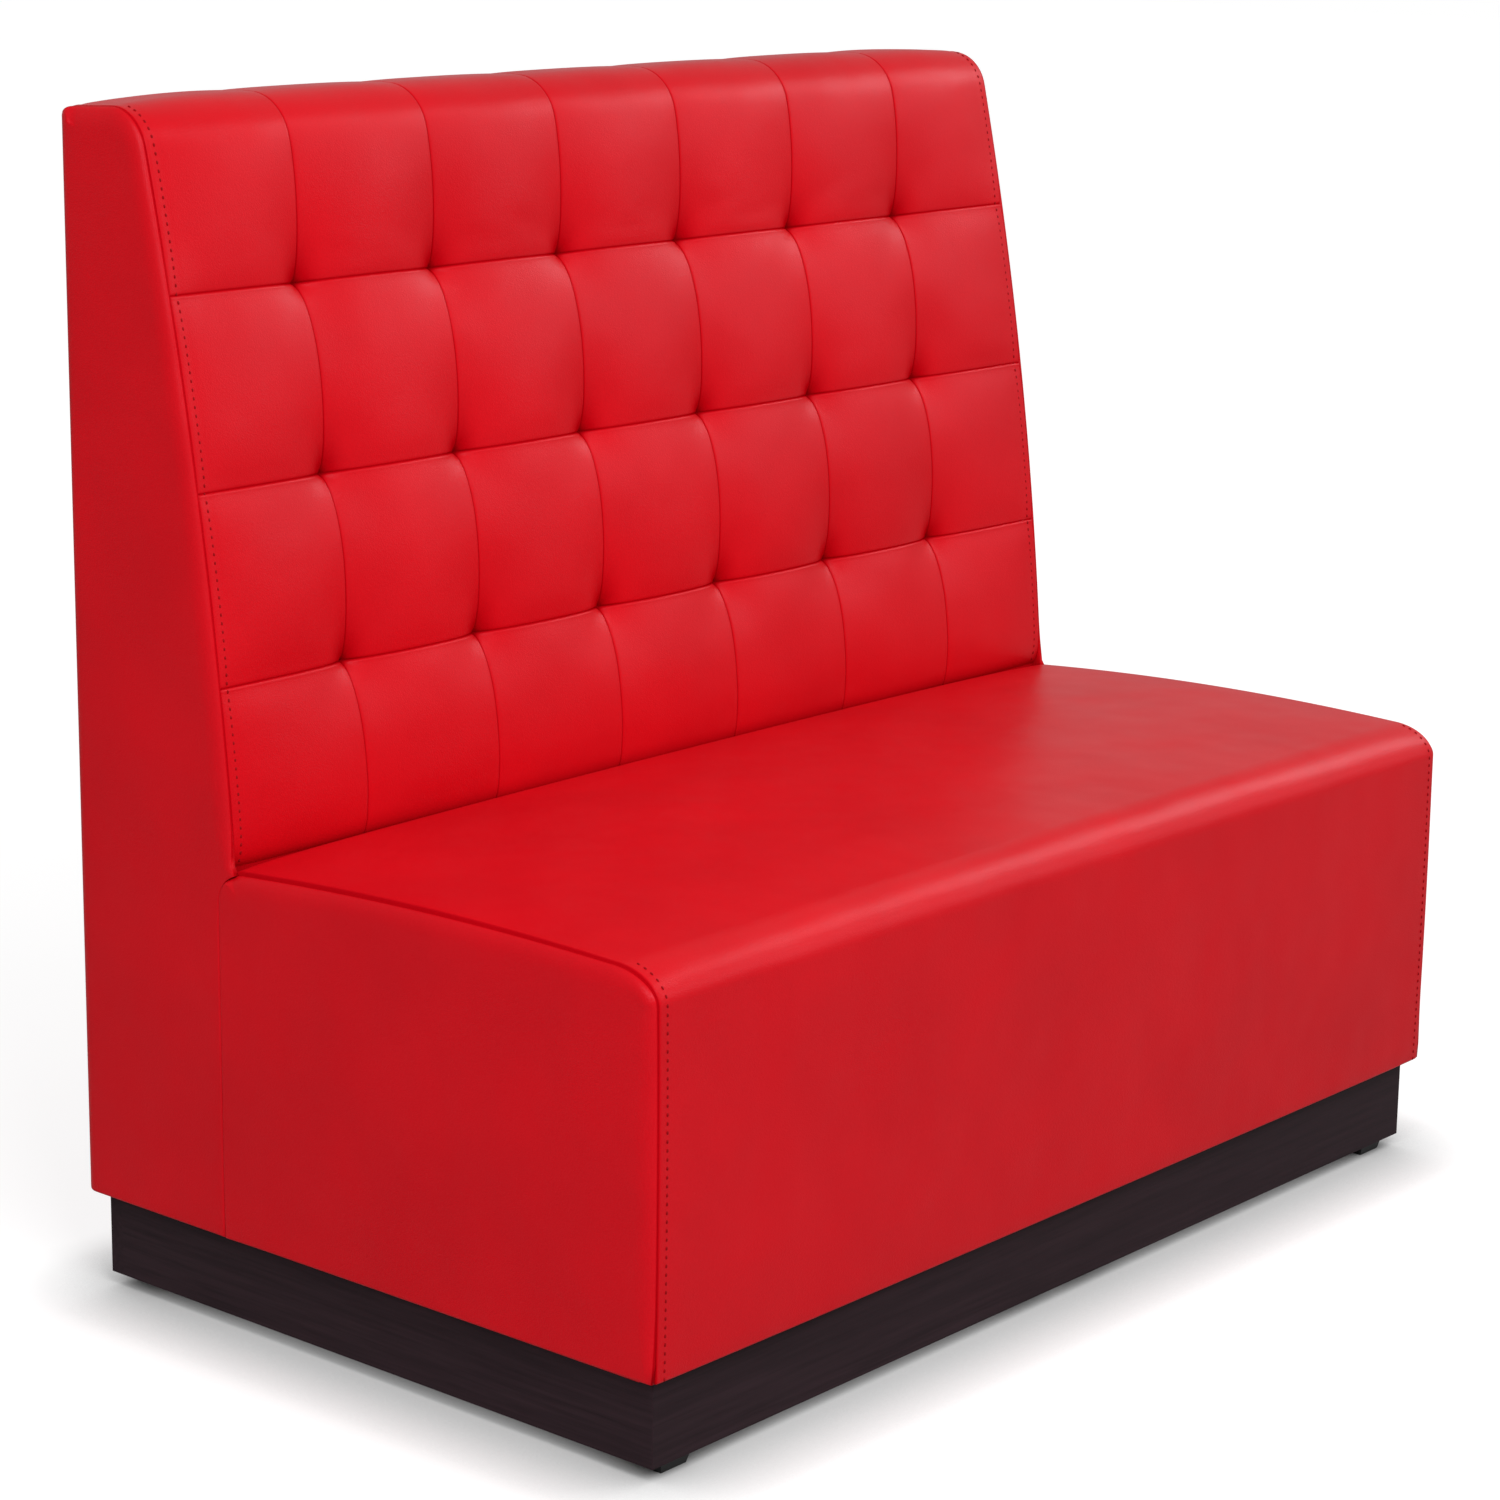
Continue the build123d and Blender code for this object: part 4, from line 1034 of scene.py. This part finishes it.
def back_side_outline():
    """Unrolled outline of the back's side panel, anticlockwise, with the style of each edge."""
    wall = seat_rear + module_gap
    crease_z = seat_seam_height - rear_drop - rear_radius
    path = [("hem", (wall, hem_low))]
    for angle in np.linspace(0, math.pi / 2, 7):
        path.append(("hem", (rear - rear_corner + rear_corner * angle, hem_low)))
    path.append(("rear", (rear_end_run, rear_z)))
    for angle in np.linspace(math.pi / 2, 0, 9)[1:]:
        y = rear - rear_corner + rear_corner * math.sin(angle)
        z = rear_z + math.sqrt(max(top_rear_radius**2 - max(y - rear_y, 0) ** 2, 0))
        path.append(("rear", (rear - rear_corner + rear_corner * angle, z)))
    before_corner = outline[:, 0] < rear - rear_corner - 0.001
    upper = outline[before_corner & (outline[:, 1] > side_seam_start)][::-1]
    path += [("seam", tuple(p)) for p in upper[::side_seam_thinning]]
    crease = arc(seat_rear - rear_radius, crease_z, rear_radius + module_gap, crease_angle, math.pi, 9)
    return path + [("wall", tuple(p)) for p in crease]


def seat_side_outline():
    """Outline of the seat's side panel: the seat's own line at its end, anticlockwise."""
    shell = seat_shell(half_length)
    path = [("hem", (seat_rear, hem_low))]
    for y, z in shell[: hem_count - 1:-1]:
        if y > seat_rear - wall_reach:
            style = "wall"
        elif y < front + nose_reach / 2 and z > seat_seam_height - 2 * front_radius:
            style = "nose"
        else:
            style = "seam"
        path.append((style, (y, z)))
    return path + [("hem", tuple(shell[hem_count // 2]))]


def styled(path, step):
    """Divides the outline and gives each point its own width and drop, eased along the edge."""
    points, styles = [], []
    for (_, a), (style, b) in zip(path, path[1:] + path[:1]):
        a, b = np.array(a), np.array(b)
        size = np.hypot(*(b - a))
        if size < 1e-5:
            continue
        count = max(1, round(size / step))
        points += [a + (b - a) * k / count for k in range(count)]
        styles += [edge_styles[style]] * count
    widths, drops = np.array(styles).T
    for _ in range(easing_rounds):
        widths = (np.roll(widths, 1) + widths * 2 + np.roll(widths, -1)) / 4
        drops = (np.roll(drops, 1) + drops * 2 + np.roll(drops, -1)) / 4
    return np.array(points), widths, drops


side_panels = {}
for side, sign in (("left", -1), ("right", 1)):
    for part, path in (("back", back_side_outline()), ("seat", seat_side_outline())):
        side_panels[part, side] = padded_panel(
            "%s_%s_side" % (part, side), *styled(path, outline_step), side_space(sign), panel_thickness, red,
        )

# %% [markdown]
# The outside of the back is a single sheet of leatherette, stretched over the hardboard and stapled
# under the frame. A stretched sheet is nearly flat: it dips a little in the middle of its span and rolls
# in at its edges.

# %% The outside back
rear_half = half_length - rear_corner
rear_top = rear_z
rear_step = 0.03
rear_dip = 0.0006
rear_roll, rear_roll_width = 0.0008, 0.004


def sheet_piece(name, xs, zs, place, thickness, material):
    """A closed thin sheet: a grid of points on one side and their offsets on the other."""
    bm = bmesh.new()
    sides = []
    for depth in (0.0, thickness):
        sides.append([[bm.verts.new(place(x, z, depth)) for z in zs] for x in xs])
    for grid in sides:
        for i in range(len(xs) - 1):
            for j in range(len(zs) - 1):
                bm.faces.new((grid[i][j], grid[i][j + 1], grid[i + 1][j + 1], grid[i + 1][j]))
    a, b = sides
    last_x, last_z = len(xs) - 1, len(zs) - 1
    border = [(i, 0) for i in range(last_x + 1)] + [(last_x, j) for j in range(1, last_z + 1)]
    border += [(i, last_z) for i in range(last_x - 1, -1, -1)] + [(0, j) for j in range(last_z - 1, 0, -1)]
    for (i, j), (k, m) in zip(border, border[1:] + border[:1]):
        bm.faces.new((a[i][j], a[k][m], b[k][m], b[i][j]))
    return finish_mesh(name, bm, material)


def rear_place(x, z, depth):
    """The place of a point on the outside back, or at a depth below its surface."""
    share_x, share_z = x / rear_half, (2 * z - rear_top - hem_low) / (rear_top - hem_low)
    dip = rear_dip * (1 - share_x**2) * (1 - share_z**2)
    edge = max(min(rear_half - abs(x), rear_top - z, z - hem_low, rear_roll_width), 0.0) / rear_roll_width
    roll = rear_roll * (1 - math.sqrt(1 - (1 - edge) ** 2))
    return (x, rear - dip - roll - depth, z)


outside_back = sheet_piece(
    "back_outside_panel", spread(-rear_half, rear_half, rear_step), spread(hem_low, rear_top, rear_step),
    rear_place, cover_thickness, red_rear,
)

# %% [markdown]
# Things that repeat along a line are made by Geometry Nodes: topstitches, staples and the twines behind
# the tufts. Each tree takes a path of plain edges and has named inputs for its sizes. It ends by making
# the copies real and giving them their finish, and the result is kept as a plain mesh. Stitches and
# staples share one recipe: a small rounded length of thread or wire, laid along a path a pitch apart.

# %% Helpers for Geometry Nodes
def start_tree(name, sizes):
    """A tree with a Geometry input, named number inputs and a Geometry output."""
    tree = bpy.data.node_groups.new(name, "GeometryNodeTree")
    tree.interface.new_socket("Geometry", in_out="INPUT", socket_type="NodeSocketGeometry")
    for title, value in sizes.items():
        socket = tree.interface.new_socket(title, in_out="INPUT", socket_type="NodeSocketFloat")
        socket.default_value = value
    tree.interface.new_socket("Geometry", in_out="OUTPUT", socket_type="NodeSocketGeometry")
    return tree, tree.nodes.new("NodeGroupInput")


def end_tree(tree, geometry, material):
    """Makes the copies real, gives them their finish and sends them out of the tree."""
    real = add_node(tree, "GeometryNodeRealizeInstances", Geometry=geometry)
    coloured = add_node(tree, "GeometryNodeSetMaterial", Geometry=real.outputs[0], Material=material)
    output = tree.nodes.new("NodeGroupOutput")
    tree.links.new(coloured.outputs[0], output.inputs[0])


def row_tree(name, pitch, length, width, rings, material):
    """A tree that lays small rounded lengths of thread or wire along a path."""
    tree, given = start_tree(name, {"Pitch": pitch, "Length": length, "Width": width})
    curve = add_node(tree, "GeometryNodeMeshToCurve", Mesh=given.outputs["Geometry"])
    even = add_node(
        tree, "GeometryNodeResampleCurve", {"mode": "LENGTH"},
        Curve=curve.outputs[0], Length=given.outputs["Pitch"],
    )
    along = add_node(tree, "GeometryNodeInputTangent")
    turned = add_node(tree, "FunctionNodeAlignRotationToVector", {"axis": "X"}, Vector=along.outputs[0])
    bead = add_node(tree, "GeometryNodeMeshUVSphere", Segments=8, Rings=rings, Radius=0.5)
    size = add_node(
        tree, "ShaderNodeCombineXYZ",
        X=given.outputs["Length"], Y=given.outputs["Width"], Z=given.outputs["Width"],
    )
    copies = add_node(
        tree, "GeometryNodeInstanceOnPoints",
        Points=even.outputs[0], Instance=bead.outputs[0], Rotation=turned.outputs[0], Scale=size.outputs[0],
    )
    end_tree(tree, copies.outputs[0], material)
    return tree


def run_tree(name, tree, points, edges):
    """Runs a tree on a path of edges and keeps the result as a plain mesh."""
    path = bpy.data.meshes.new(name + "_path")
    path.from_pydata([tuple(p) for p in points], edges, [])
    host = bpy.data.objects.new(name + "_path", path)
    bpy.context.scene.collection.objects.link(host)
    modifier = host.modifiers.new("tree", "NODES")
    modifier.node_group = tree
    bpy.context.view_layer.update()
    evaluated = host.evaluated_get(bpy.context.evaluated_depsgraph_get())
    mesh = bpy.data.meshes.new_from_object(evaluated)
    host.modifiers.remove(modifier)
    bpy.data.objects.remove(host)
    piece = bpy.data.objects.new(name, mesh)
    bpy.context.scene.collection.objects.link(piece)
    print(name, len(mesh.polygons), "faces")
    return piece


def chain(paths):
    """Joins several lines of points into one list of points and edges."""
    points, edges = [], []
    for path in paths:
        first = len(points)
        points += list(path)
        edges += [(first + i, first + i + 1) for i in range(len(path) - 1)]
    return points, edges


# %% [markdown]
# A row of topstitching holds the seam allowance flat, about a centimetre inside the side seams. On the
# back it runs from the crease up and over most of the rolled top edge, and on the seat from the hem up
# and over most of the front edge. Each stitch is a short length of dark red thread that dips into the
# cover at both ends, so only its middle shows.

# %% Topstitching
stitch_pitch, stitch_length, stitch_width = 0.0075, 0.0036, 0.0021
stitch_x = seam_half - stitch_inset
above_crease, round_roll, back_points = 0.006, 1.1, 160
nose_end = 46
stitch_runs = np.linspace(bottom_run + above_crease, roll_run + roll_radius * round_roll, back_points)
stitch_line = seat_shell(stitch_x)[hem_count - 1:nose_end]

stitch_tree = row_tree("stitch row", stitch_pitch, stitch_length, stitch_width, 5, thread_red)
back_rows, seat_rows = [], []
for sign in (-1, 1):
    back_rows.append(back_surface(np.full(len(stitch_runs), sign * stitch_x), stitch_runs)[0])
    seat_rows.append(np.column_stack([np.full(len(stitch_line), sign * stitch_x), stitch_line]))
back_stitches = run_tree("back_topstitching", stitch_tree, *chain(back_rows))
seat_stitches = run_tree("seat_topstitching", stitch_tree, *chain(seat_rows))

# %% [markdown]
# Behind the board each tuft's twine is knotted round a steel washer. The twine is two plies twisted
# together; here it is a thin tube with a knot at its end, because nobody sees it unless the back is off.

# %% Twines behind the tufts
twine_radius, knot_radius = 0.0009, 0.0024
washer_thickness = 0.002
twine_depth = 0.036

twine_tree, given = start_tree("twine", {"Radius": twine_radius, "Knot": knot_radius})
curve = add_node(twine_tree, "GeometryNodeMeshToCurve", Mesh=given.outputs["Geometry"])
ring = add_node(twine_tree, "GeometryNodeCurvePrimitiveCircle", Resolution=6, Radius=given.outputs["Radius"])
tube = add_node(
    twine_tree, "GeometryNodeCurveToMesh",
    Curve=curve.outputs[0], Profile_Curve=ring.outputs[0], Fill_Caps=True,
)
ends = add_node(twine_tree, "GeometryNodeCurveEndpointSelection", Start_Size=0, End_Size=1)
ball = add_node(twine_tree, "GeometryNodeMeshUVSphere", Segments=8, Rings=6, Radius=given.outputs["Knot"])
knots = add_node(
    twine_tree, "GeometryNodeInstanceOnPoints",
    Points=curve.outputs[0], Selection=ends.outputs[0], Instance=ball.outputs[0],
)
joined = twine_tree.nodes.new("GeometryNodeJoinGeometry")
for strand in (tube, knots):
    twine_tree.links.new(strand.outputs[0], joined.inputs[0])
end_tree(twine_tree, joined.outputs[0], twine_finish)

twine_slope = (foam_back[1] - foam_back[0]) / (board_high.z - cover_low)
twine_way = np.array([1.0, -twine_slope]) / math.hypot(1.0, twine_slope)
twine_paths = []
for z in tuft_heights:
    head = np.array([face_depth(z) + twine_depth, z])
    reach = (inner_face(z) + board_thickness - head[0]) * twine_way[0]
    knot = head + twine_way * (reach + washer_thickness + knot_radius)
    for seam in column_seams:
        twine_paths.append([(seam, *head), (seam, *knot)])
twines = run_tree("tuft_twines", twine_tree, *chain(twine_paths))

# %% [markdown]
# The seat's springs are straps of elastic webbing, stretched and woven over and under each other, with a
# hessian sheet on top that keeps the foam out of the gaps. A strap is a thin band whose height swings
# between two levels where it crosses the others.

# %% Webbing
strap_width, strap_thickness, strap_swing = 0.050, 0.0013, 0.0010
cross_low, cross_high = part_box("seat_webbing_crosswise")
long_low, long_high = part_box("seat_webbing_lengthwise")
strap_level = (cross_low.z + long_high.z) / 2
cross_straps, long_straps, strap_points = 8, 4, 120
cross_places = np.linspace(cross_low.x + strap_width / 2, cross_high.x - strap_width / 2, cross_straps)
long_places = np.linspace(long_low.y + strap_width / 2, long_high.y - strap_width / 2, long_straps)


def strap_set(name, places, crossings, low, high, across_axis, phase):
    """Straps side by side, each woven over and under the straps that it crosses."""
    bm = bmesh.new()
    stops = np.linspace(low, high, strap_points)
    order = [low] + list(crossings) + [high]
    for number, place in enumerate(places):
        turn = np.interp(stops, order, np.arange(len(order)))
        swing = np.sin((turn - 0.5 + number + phase) * math.pi) * strap_swing
        rings = []
        for stop, lift in zip(stops, swing):
            corners = []
            for side, level in ((-1, -1), (1, -1), (1, 1), (-1, 1)):
                point = [0.0, 0.0, strap_level + lift + level * strap_thickness / 2]
                point[across_axis] = place + side * strap_width / 2
                point[1 - across_axis] = stop
                corners.append(bm.verts.new(point))
            rings.append(corners)
        for one, two in zip(rings, rings[1:]):
            for k in range(4):
                m = (k + 1) % 4
                bm.faces.new((one[k], one[m], two[m], two[k]))
        bm.faces.new(rings[0])
        bm.faces.new(rings[-1])
    return finish_mesh(name, bm, webbing_finish)


straps_across = strap_set("webbing_crosswise", cross_places, long_places, cross_low.y, cross_high.y, 0, 0)
straps_along = strap_set("webbing_lengthwise", long_places, cross_places, long_low.x, long_high.x, 1, 1)

# %% [markdown]
# The cloth under the seat keeps dust out. It is stapled under the frame, inside the plinth, and sags
# slightly. The hessian sheet on the webbing is made in the same way, and lies flat.

# %% Dust cloth and support cloth
cloth_grid = 0.04


def flat_cloth(name, node, sag, material):
    """A cloth that fills the place of a plain part and sags in its middle."""
    low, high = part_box(node)
    middle_x, middle_y = (low.x + high.x) / 2, (low.y + high.y) / 2

    def place(x, y, depth):
        share_x = (x - middle_x) / (high.x - middle_x)
        share_y = (y - middle_y) / (high.y - middle_y)
        return (x, y, high.z - sag * (1 - share_x**2) * (1 - share_y**2) - depth)

    xs, ys = spread(low.x, high.x, cloth_grid), spread(low.y, high.y, cloth_grid)
    return sheet_piece(name, xs, ys, place, high.z - low.z, material)


underside = flat_cloth("underside_cloth", "dust_cover", 0.004, cambric)
support = flat_cloth("support_cloth", "seat_support_cloth", 0.0, hessian)

# %% [markdown]
# Under the frame the covers are turned in and stapled all round, just outside the plinth. The turned
# hem is a narrow flat strip, and a second row of staples holds the dust cloth.

# %% Hem and staples
hem_width, hem_inset = 0.013, 0.003
hem_start = front + 0.020
staple_pitch, staple_length, staple_wire = 0.035, 0.010, 0.0009
staple_inset, front_staples = 0.008, front + 0.011
row_gap, rear_gap = 0.03, 0.02


def strip(bm, low, high):
    """A flat box from its lowest to its highest corner."""
    made = bmesh.ops.create_cube(bm, size=1.0)["verts"]
    for vert in made:
        for axis in range(3):
            vert.co[axis] = low[axis] if vert.co[axis] < 0 else high[axis]


outer_x, outer_y = half_length - hem_inset, rear - hem_inset
bm = bmesh.new()
for sign in (-1, 1):
    side_x = sorted((sign * outer_x, sign * (outer_x - hem_width)))
    strip(bm, (side_x[0], hem_start, hem_low), (side_x[1], rear - rear_corner, hem_top))
strip(bm, (hem_width - outer_x, outer_y - hem_width, hem_low), (outer_x - hem_width, outer_y, hem_top))
hem = finish_mesh("turned_hem", bm, red)

row_x, row_y = outer_x - hem_width / 2, outer_y - hem_width / 2
dust_low, dust_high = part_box("dust_cover")
dust_x, dust_y = dust_high.x - staple_inset, dust_high.y - staple_inset

# Each row of staples has its start and end in plan, and its height.
staple_rows = [
    ((-row_x, front + row_gap), (-row_x, rear - rear_gap), hem_low),
    ((row_x, front + row_gap), (row_x, rear - rear_gap), hem_low),
    ((rear_gap - row_x, row_y), (row_x - rear_gap, row_y), hem_low),
    ((row_gap - row_x, front_staples), (row_x - row_gap, front_staples), hem_low),
]
for sign in (-1, 1):
    staple_rows.append(((sign * dust_x, row_gap - dust_y), (sign * dust_x, dust_y - row_gap), dust_low.z))
    staple_rows.append(((row_gap - dust_x, sign * dust_y), (dust_x - row_gap, sign * dust_y), dust_low.z))
staple_paths = [[(*start, height), (*end, height)] for start, end, height in staple_rows]
staple_tree = row_tree("staple row", staple_pitch, staple_length, staple_wire, 4, zinc)
staples = run_tree("staples", staple_tree, *chain(staple_paths))

# %% [markdown]
# Every new piece rides on the model's one body, and the plain solids whose place it takes are hidden.

# %% Attach each piece and hide the solids it replaces
for piece, slot, stands_for in (
    (back_cushion, "leatherette_red", ("back_front_cover", "back_foam")),
    (seat_cushion, "leatherette_red", ("seat_top_cover", "seat_foam", "seat_front_padding")),
    (side_panels["back", "left"], "leatherette_red", ("back_left_cover", "back_left_padding")),
    (side_panels["back", "right"], "leatherette_red", ("back_right_cover", "back_right_padding")),
    (side_panels["seat", "left"], "leatherette_red", ("seat_left_cover", "seat_left_padding")),
    (side_panels["seat", "right"], "leatherette_red", ("seat_right_cover", "seat_right_padding")),
    (outside_back, "leatherette_rear", ("back_rear_cover",)),
    (underside, "dust_cloth", ("dust_cover",)),
    (support, "support_cloth", ("seat_support_cloth",)),
    (straps_across, "webbing", ("seat_webbing_crosswise",)),
    (straps_along, "webbing", ("seat_webbing_lengthwise",)),
    (twines, "twine", ("tufting_twines",)),
    (back_stitches, "leatherette_red", ()),
    (seat_stitches, "leatherette_red", ()),
    (hem, "leatherette_red", ()),
    (staples, "zinc_steel", ()),
):
    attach(piece, "root")
    if stands_for:
        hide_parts(*stands_for)

# %% [markdown]
# The studio is a plain pale floor, a white surround and five soft lamps. The surround is white only to
# the camera. It is greyer in reflections, and it lights the bench at a plain level. The floor adds just
# enough glow for the camera to see it as white, and less of it where the bench stands close over the
# floor: that lower glow is a painted shadow round the plinth, on top of the shadow that the lamps cast.

# %% Surround
surround_light, surround_gloss = 0.35, 0.5

world = bpy.data.worlds.new("studio")
bpy.context.scene.world = world
world.use_nodes = True
tree = world.node_tree
tree.nodes.clear()
ray = add(tree, "LightPath")
unseen = stretch(tree, ray.outputs["Is Glossy Ray"], 0.0, 1.0, surround_light, surround_gloss)
strength = stretch(tree, ray.outputs["Is Camera Ray"], 0.0, 1.0, unseen, 1.0)
background = add(tree, "Background", Color=(1, 1, 1, 1), Strength=strength)
add(tree, "OutputWorld", Surface=background.outputs[0])

# %% Floor
floor_reach = 20.0
floor_grey = 0.42
glow_near, glow_far = 0.74, 0.86
glow_start, glow_end = 0.9, 4.2
shade_reach, shade_power = 0.12, 2.0

floor_mesh = bpy.data.meshes.new("floor")
floor_corners = [(x * floor_reach, y * floor_reach, 0) for x, y in ((-1, -1), (1, -1), (1, 1), (-1, 1))]
floor_mesh.from_pydata(floor_corners, [], [(0, 1, 2, 3)])
floor = bpy.data.objects.new("floor", floor_mesh)
bpy.context.scene.collection.objects.link(floor)
floor_finish = bpy.data.materials.new("studio floor")
floor_finish.use_nodes = True
tree = floor_finish.node_tree
tree.nodes.clear()
matt = add(tree, "BsdfDiffuse", Color=(floor_grey, floor_grey, floor_grey, 1))
spot = add(tree, "VectorMath", {"operation": "LENGTH"}, Vector=add(tree, "TexCoord").outputs["Object"])
glow_there = stretch(tree, spot.outputs["Value"], glow_start, glow_end, glow_near, glow_far)
# Painted shadow: the camera's glow is lowered where the bench stands close above the floor.
open_above = add(tree, "AmbientOcclusion", {"samples": 8}, Distance=shade_reach).outputs["AO"]
painted_shadow_glow = work_out(tree, "MULTIPLY", glow_there, work_out(tree, "POWER", open_above, shade_power))
camera_only = work_out(tree, "MULTIPLY", painted_shadow_glow, add(tree, "LightPath").outputs["Is Camera Ray"])
glow = add(tree, "Emission", Color=(1, 1, 1, 1), Strength=camera_only)
both = add(tree, "AddShader")
for socket, shader in zip(both.inputs, (matt, glow)):
    tree.links.new(shader.outputs[0], socket)
add(tree, "OutputMaterial", Surface=both.outputs[0])
floor_mesh.materials.append(floor_finish)


# %% Lamps
def soft_lamp(name, place, target, size, power):
    """A square area lamp that looks at a target."""
    data = bpy.data.lights.new(name, "AREA")
    data.shape = "SQUARE"
    data.size = size
    data.energy = power
    lamp = bpy.data.objects.new(name, data)
    bpy.context.scene.collection.objects.link(lamp)
    lamp.location = place
    lamp.rotation_euler = (Vector(target) - Vector(place)).to_track_quat("-Z", "Y").to_euler()


soft_lamp("key lamp", (-1.7, -3.0, 3.1), (0.0, 0.0, 0.5), 2.0, 106.0)
soft_lamp("left lamp", (-3.6, -0.8, 2.4), (0.0, 0.0, 0.6), 1.6, 52.0)
soft_lamp("right lamp", (3.5, -1.0, 2.7), (0.0, 0.0, 0.5), 1.4, 34.0)
soft_lamp("edge lamp", (1.6, -1.9, 3.4), (0.0, -0.3, 0.4), 0.7, 9.0)
soft_lamp("low lamp", (4.4, -4.2, 2.4), (0.0, 0.0, 0.6), 2.2, 40.0)
print("studio made")

# %% [markdown]
# Last, a helper gives the two corners of a box as plain lists of numbers, and the scene is brought up to
# date. The upholstery has to fit the frame, so the box of the plain model and the box of the finished one
# should agree to within the softness of the cloth.

# %% A helper for box corners, and a last update
def corners(box):
    """The two corners of a box as plain lists of numbers."""
    return [[float(c) for c in corner] for corner in box]


bpy.context.view_layer.update()
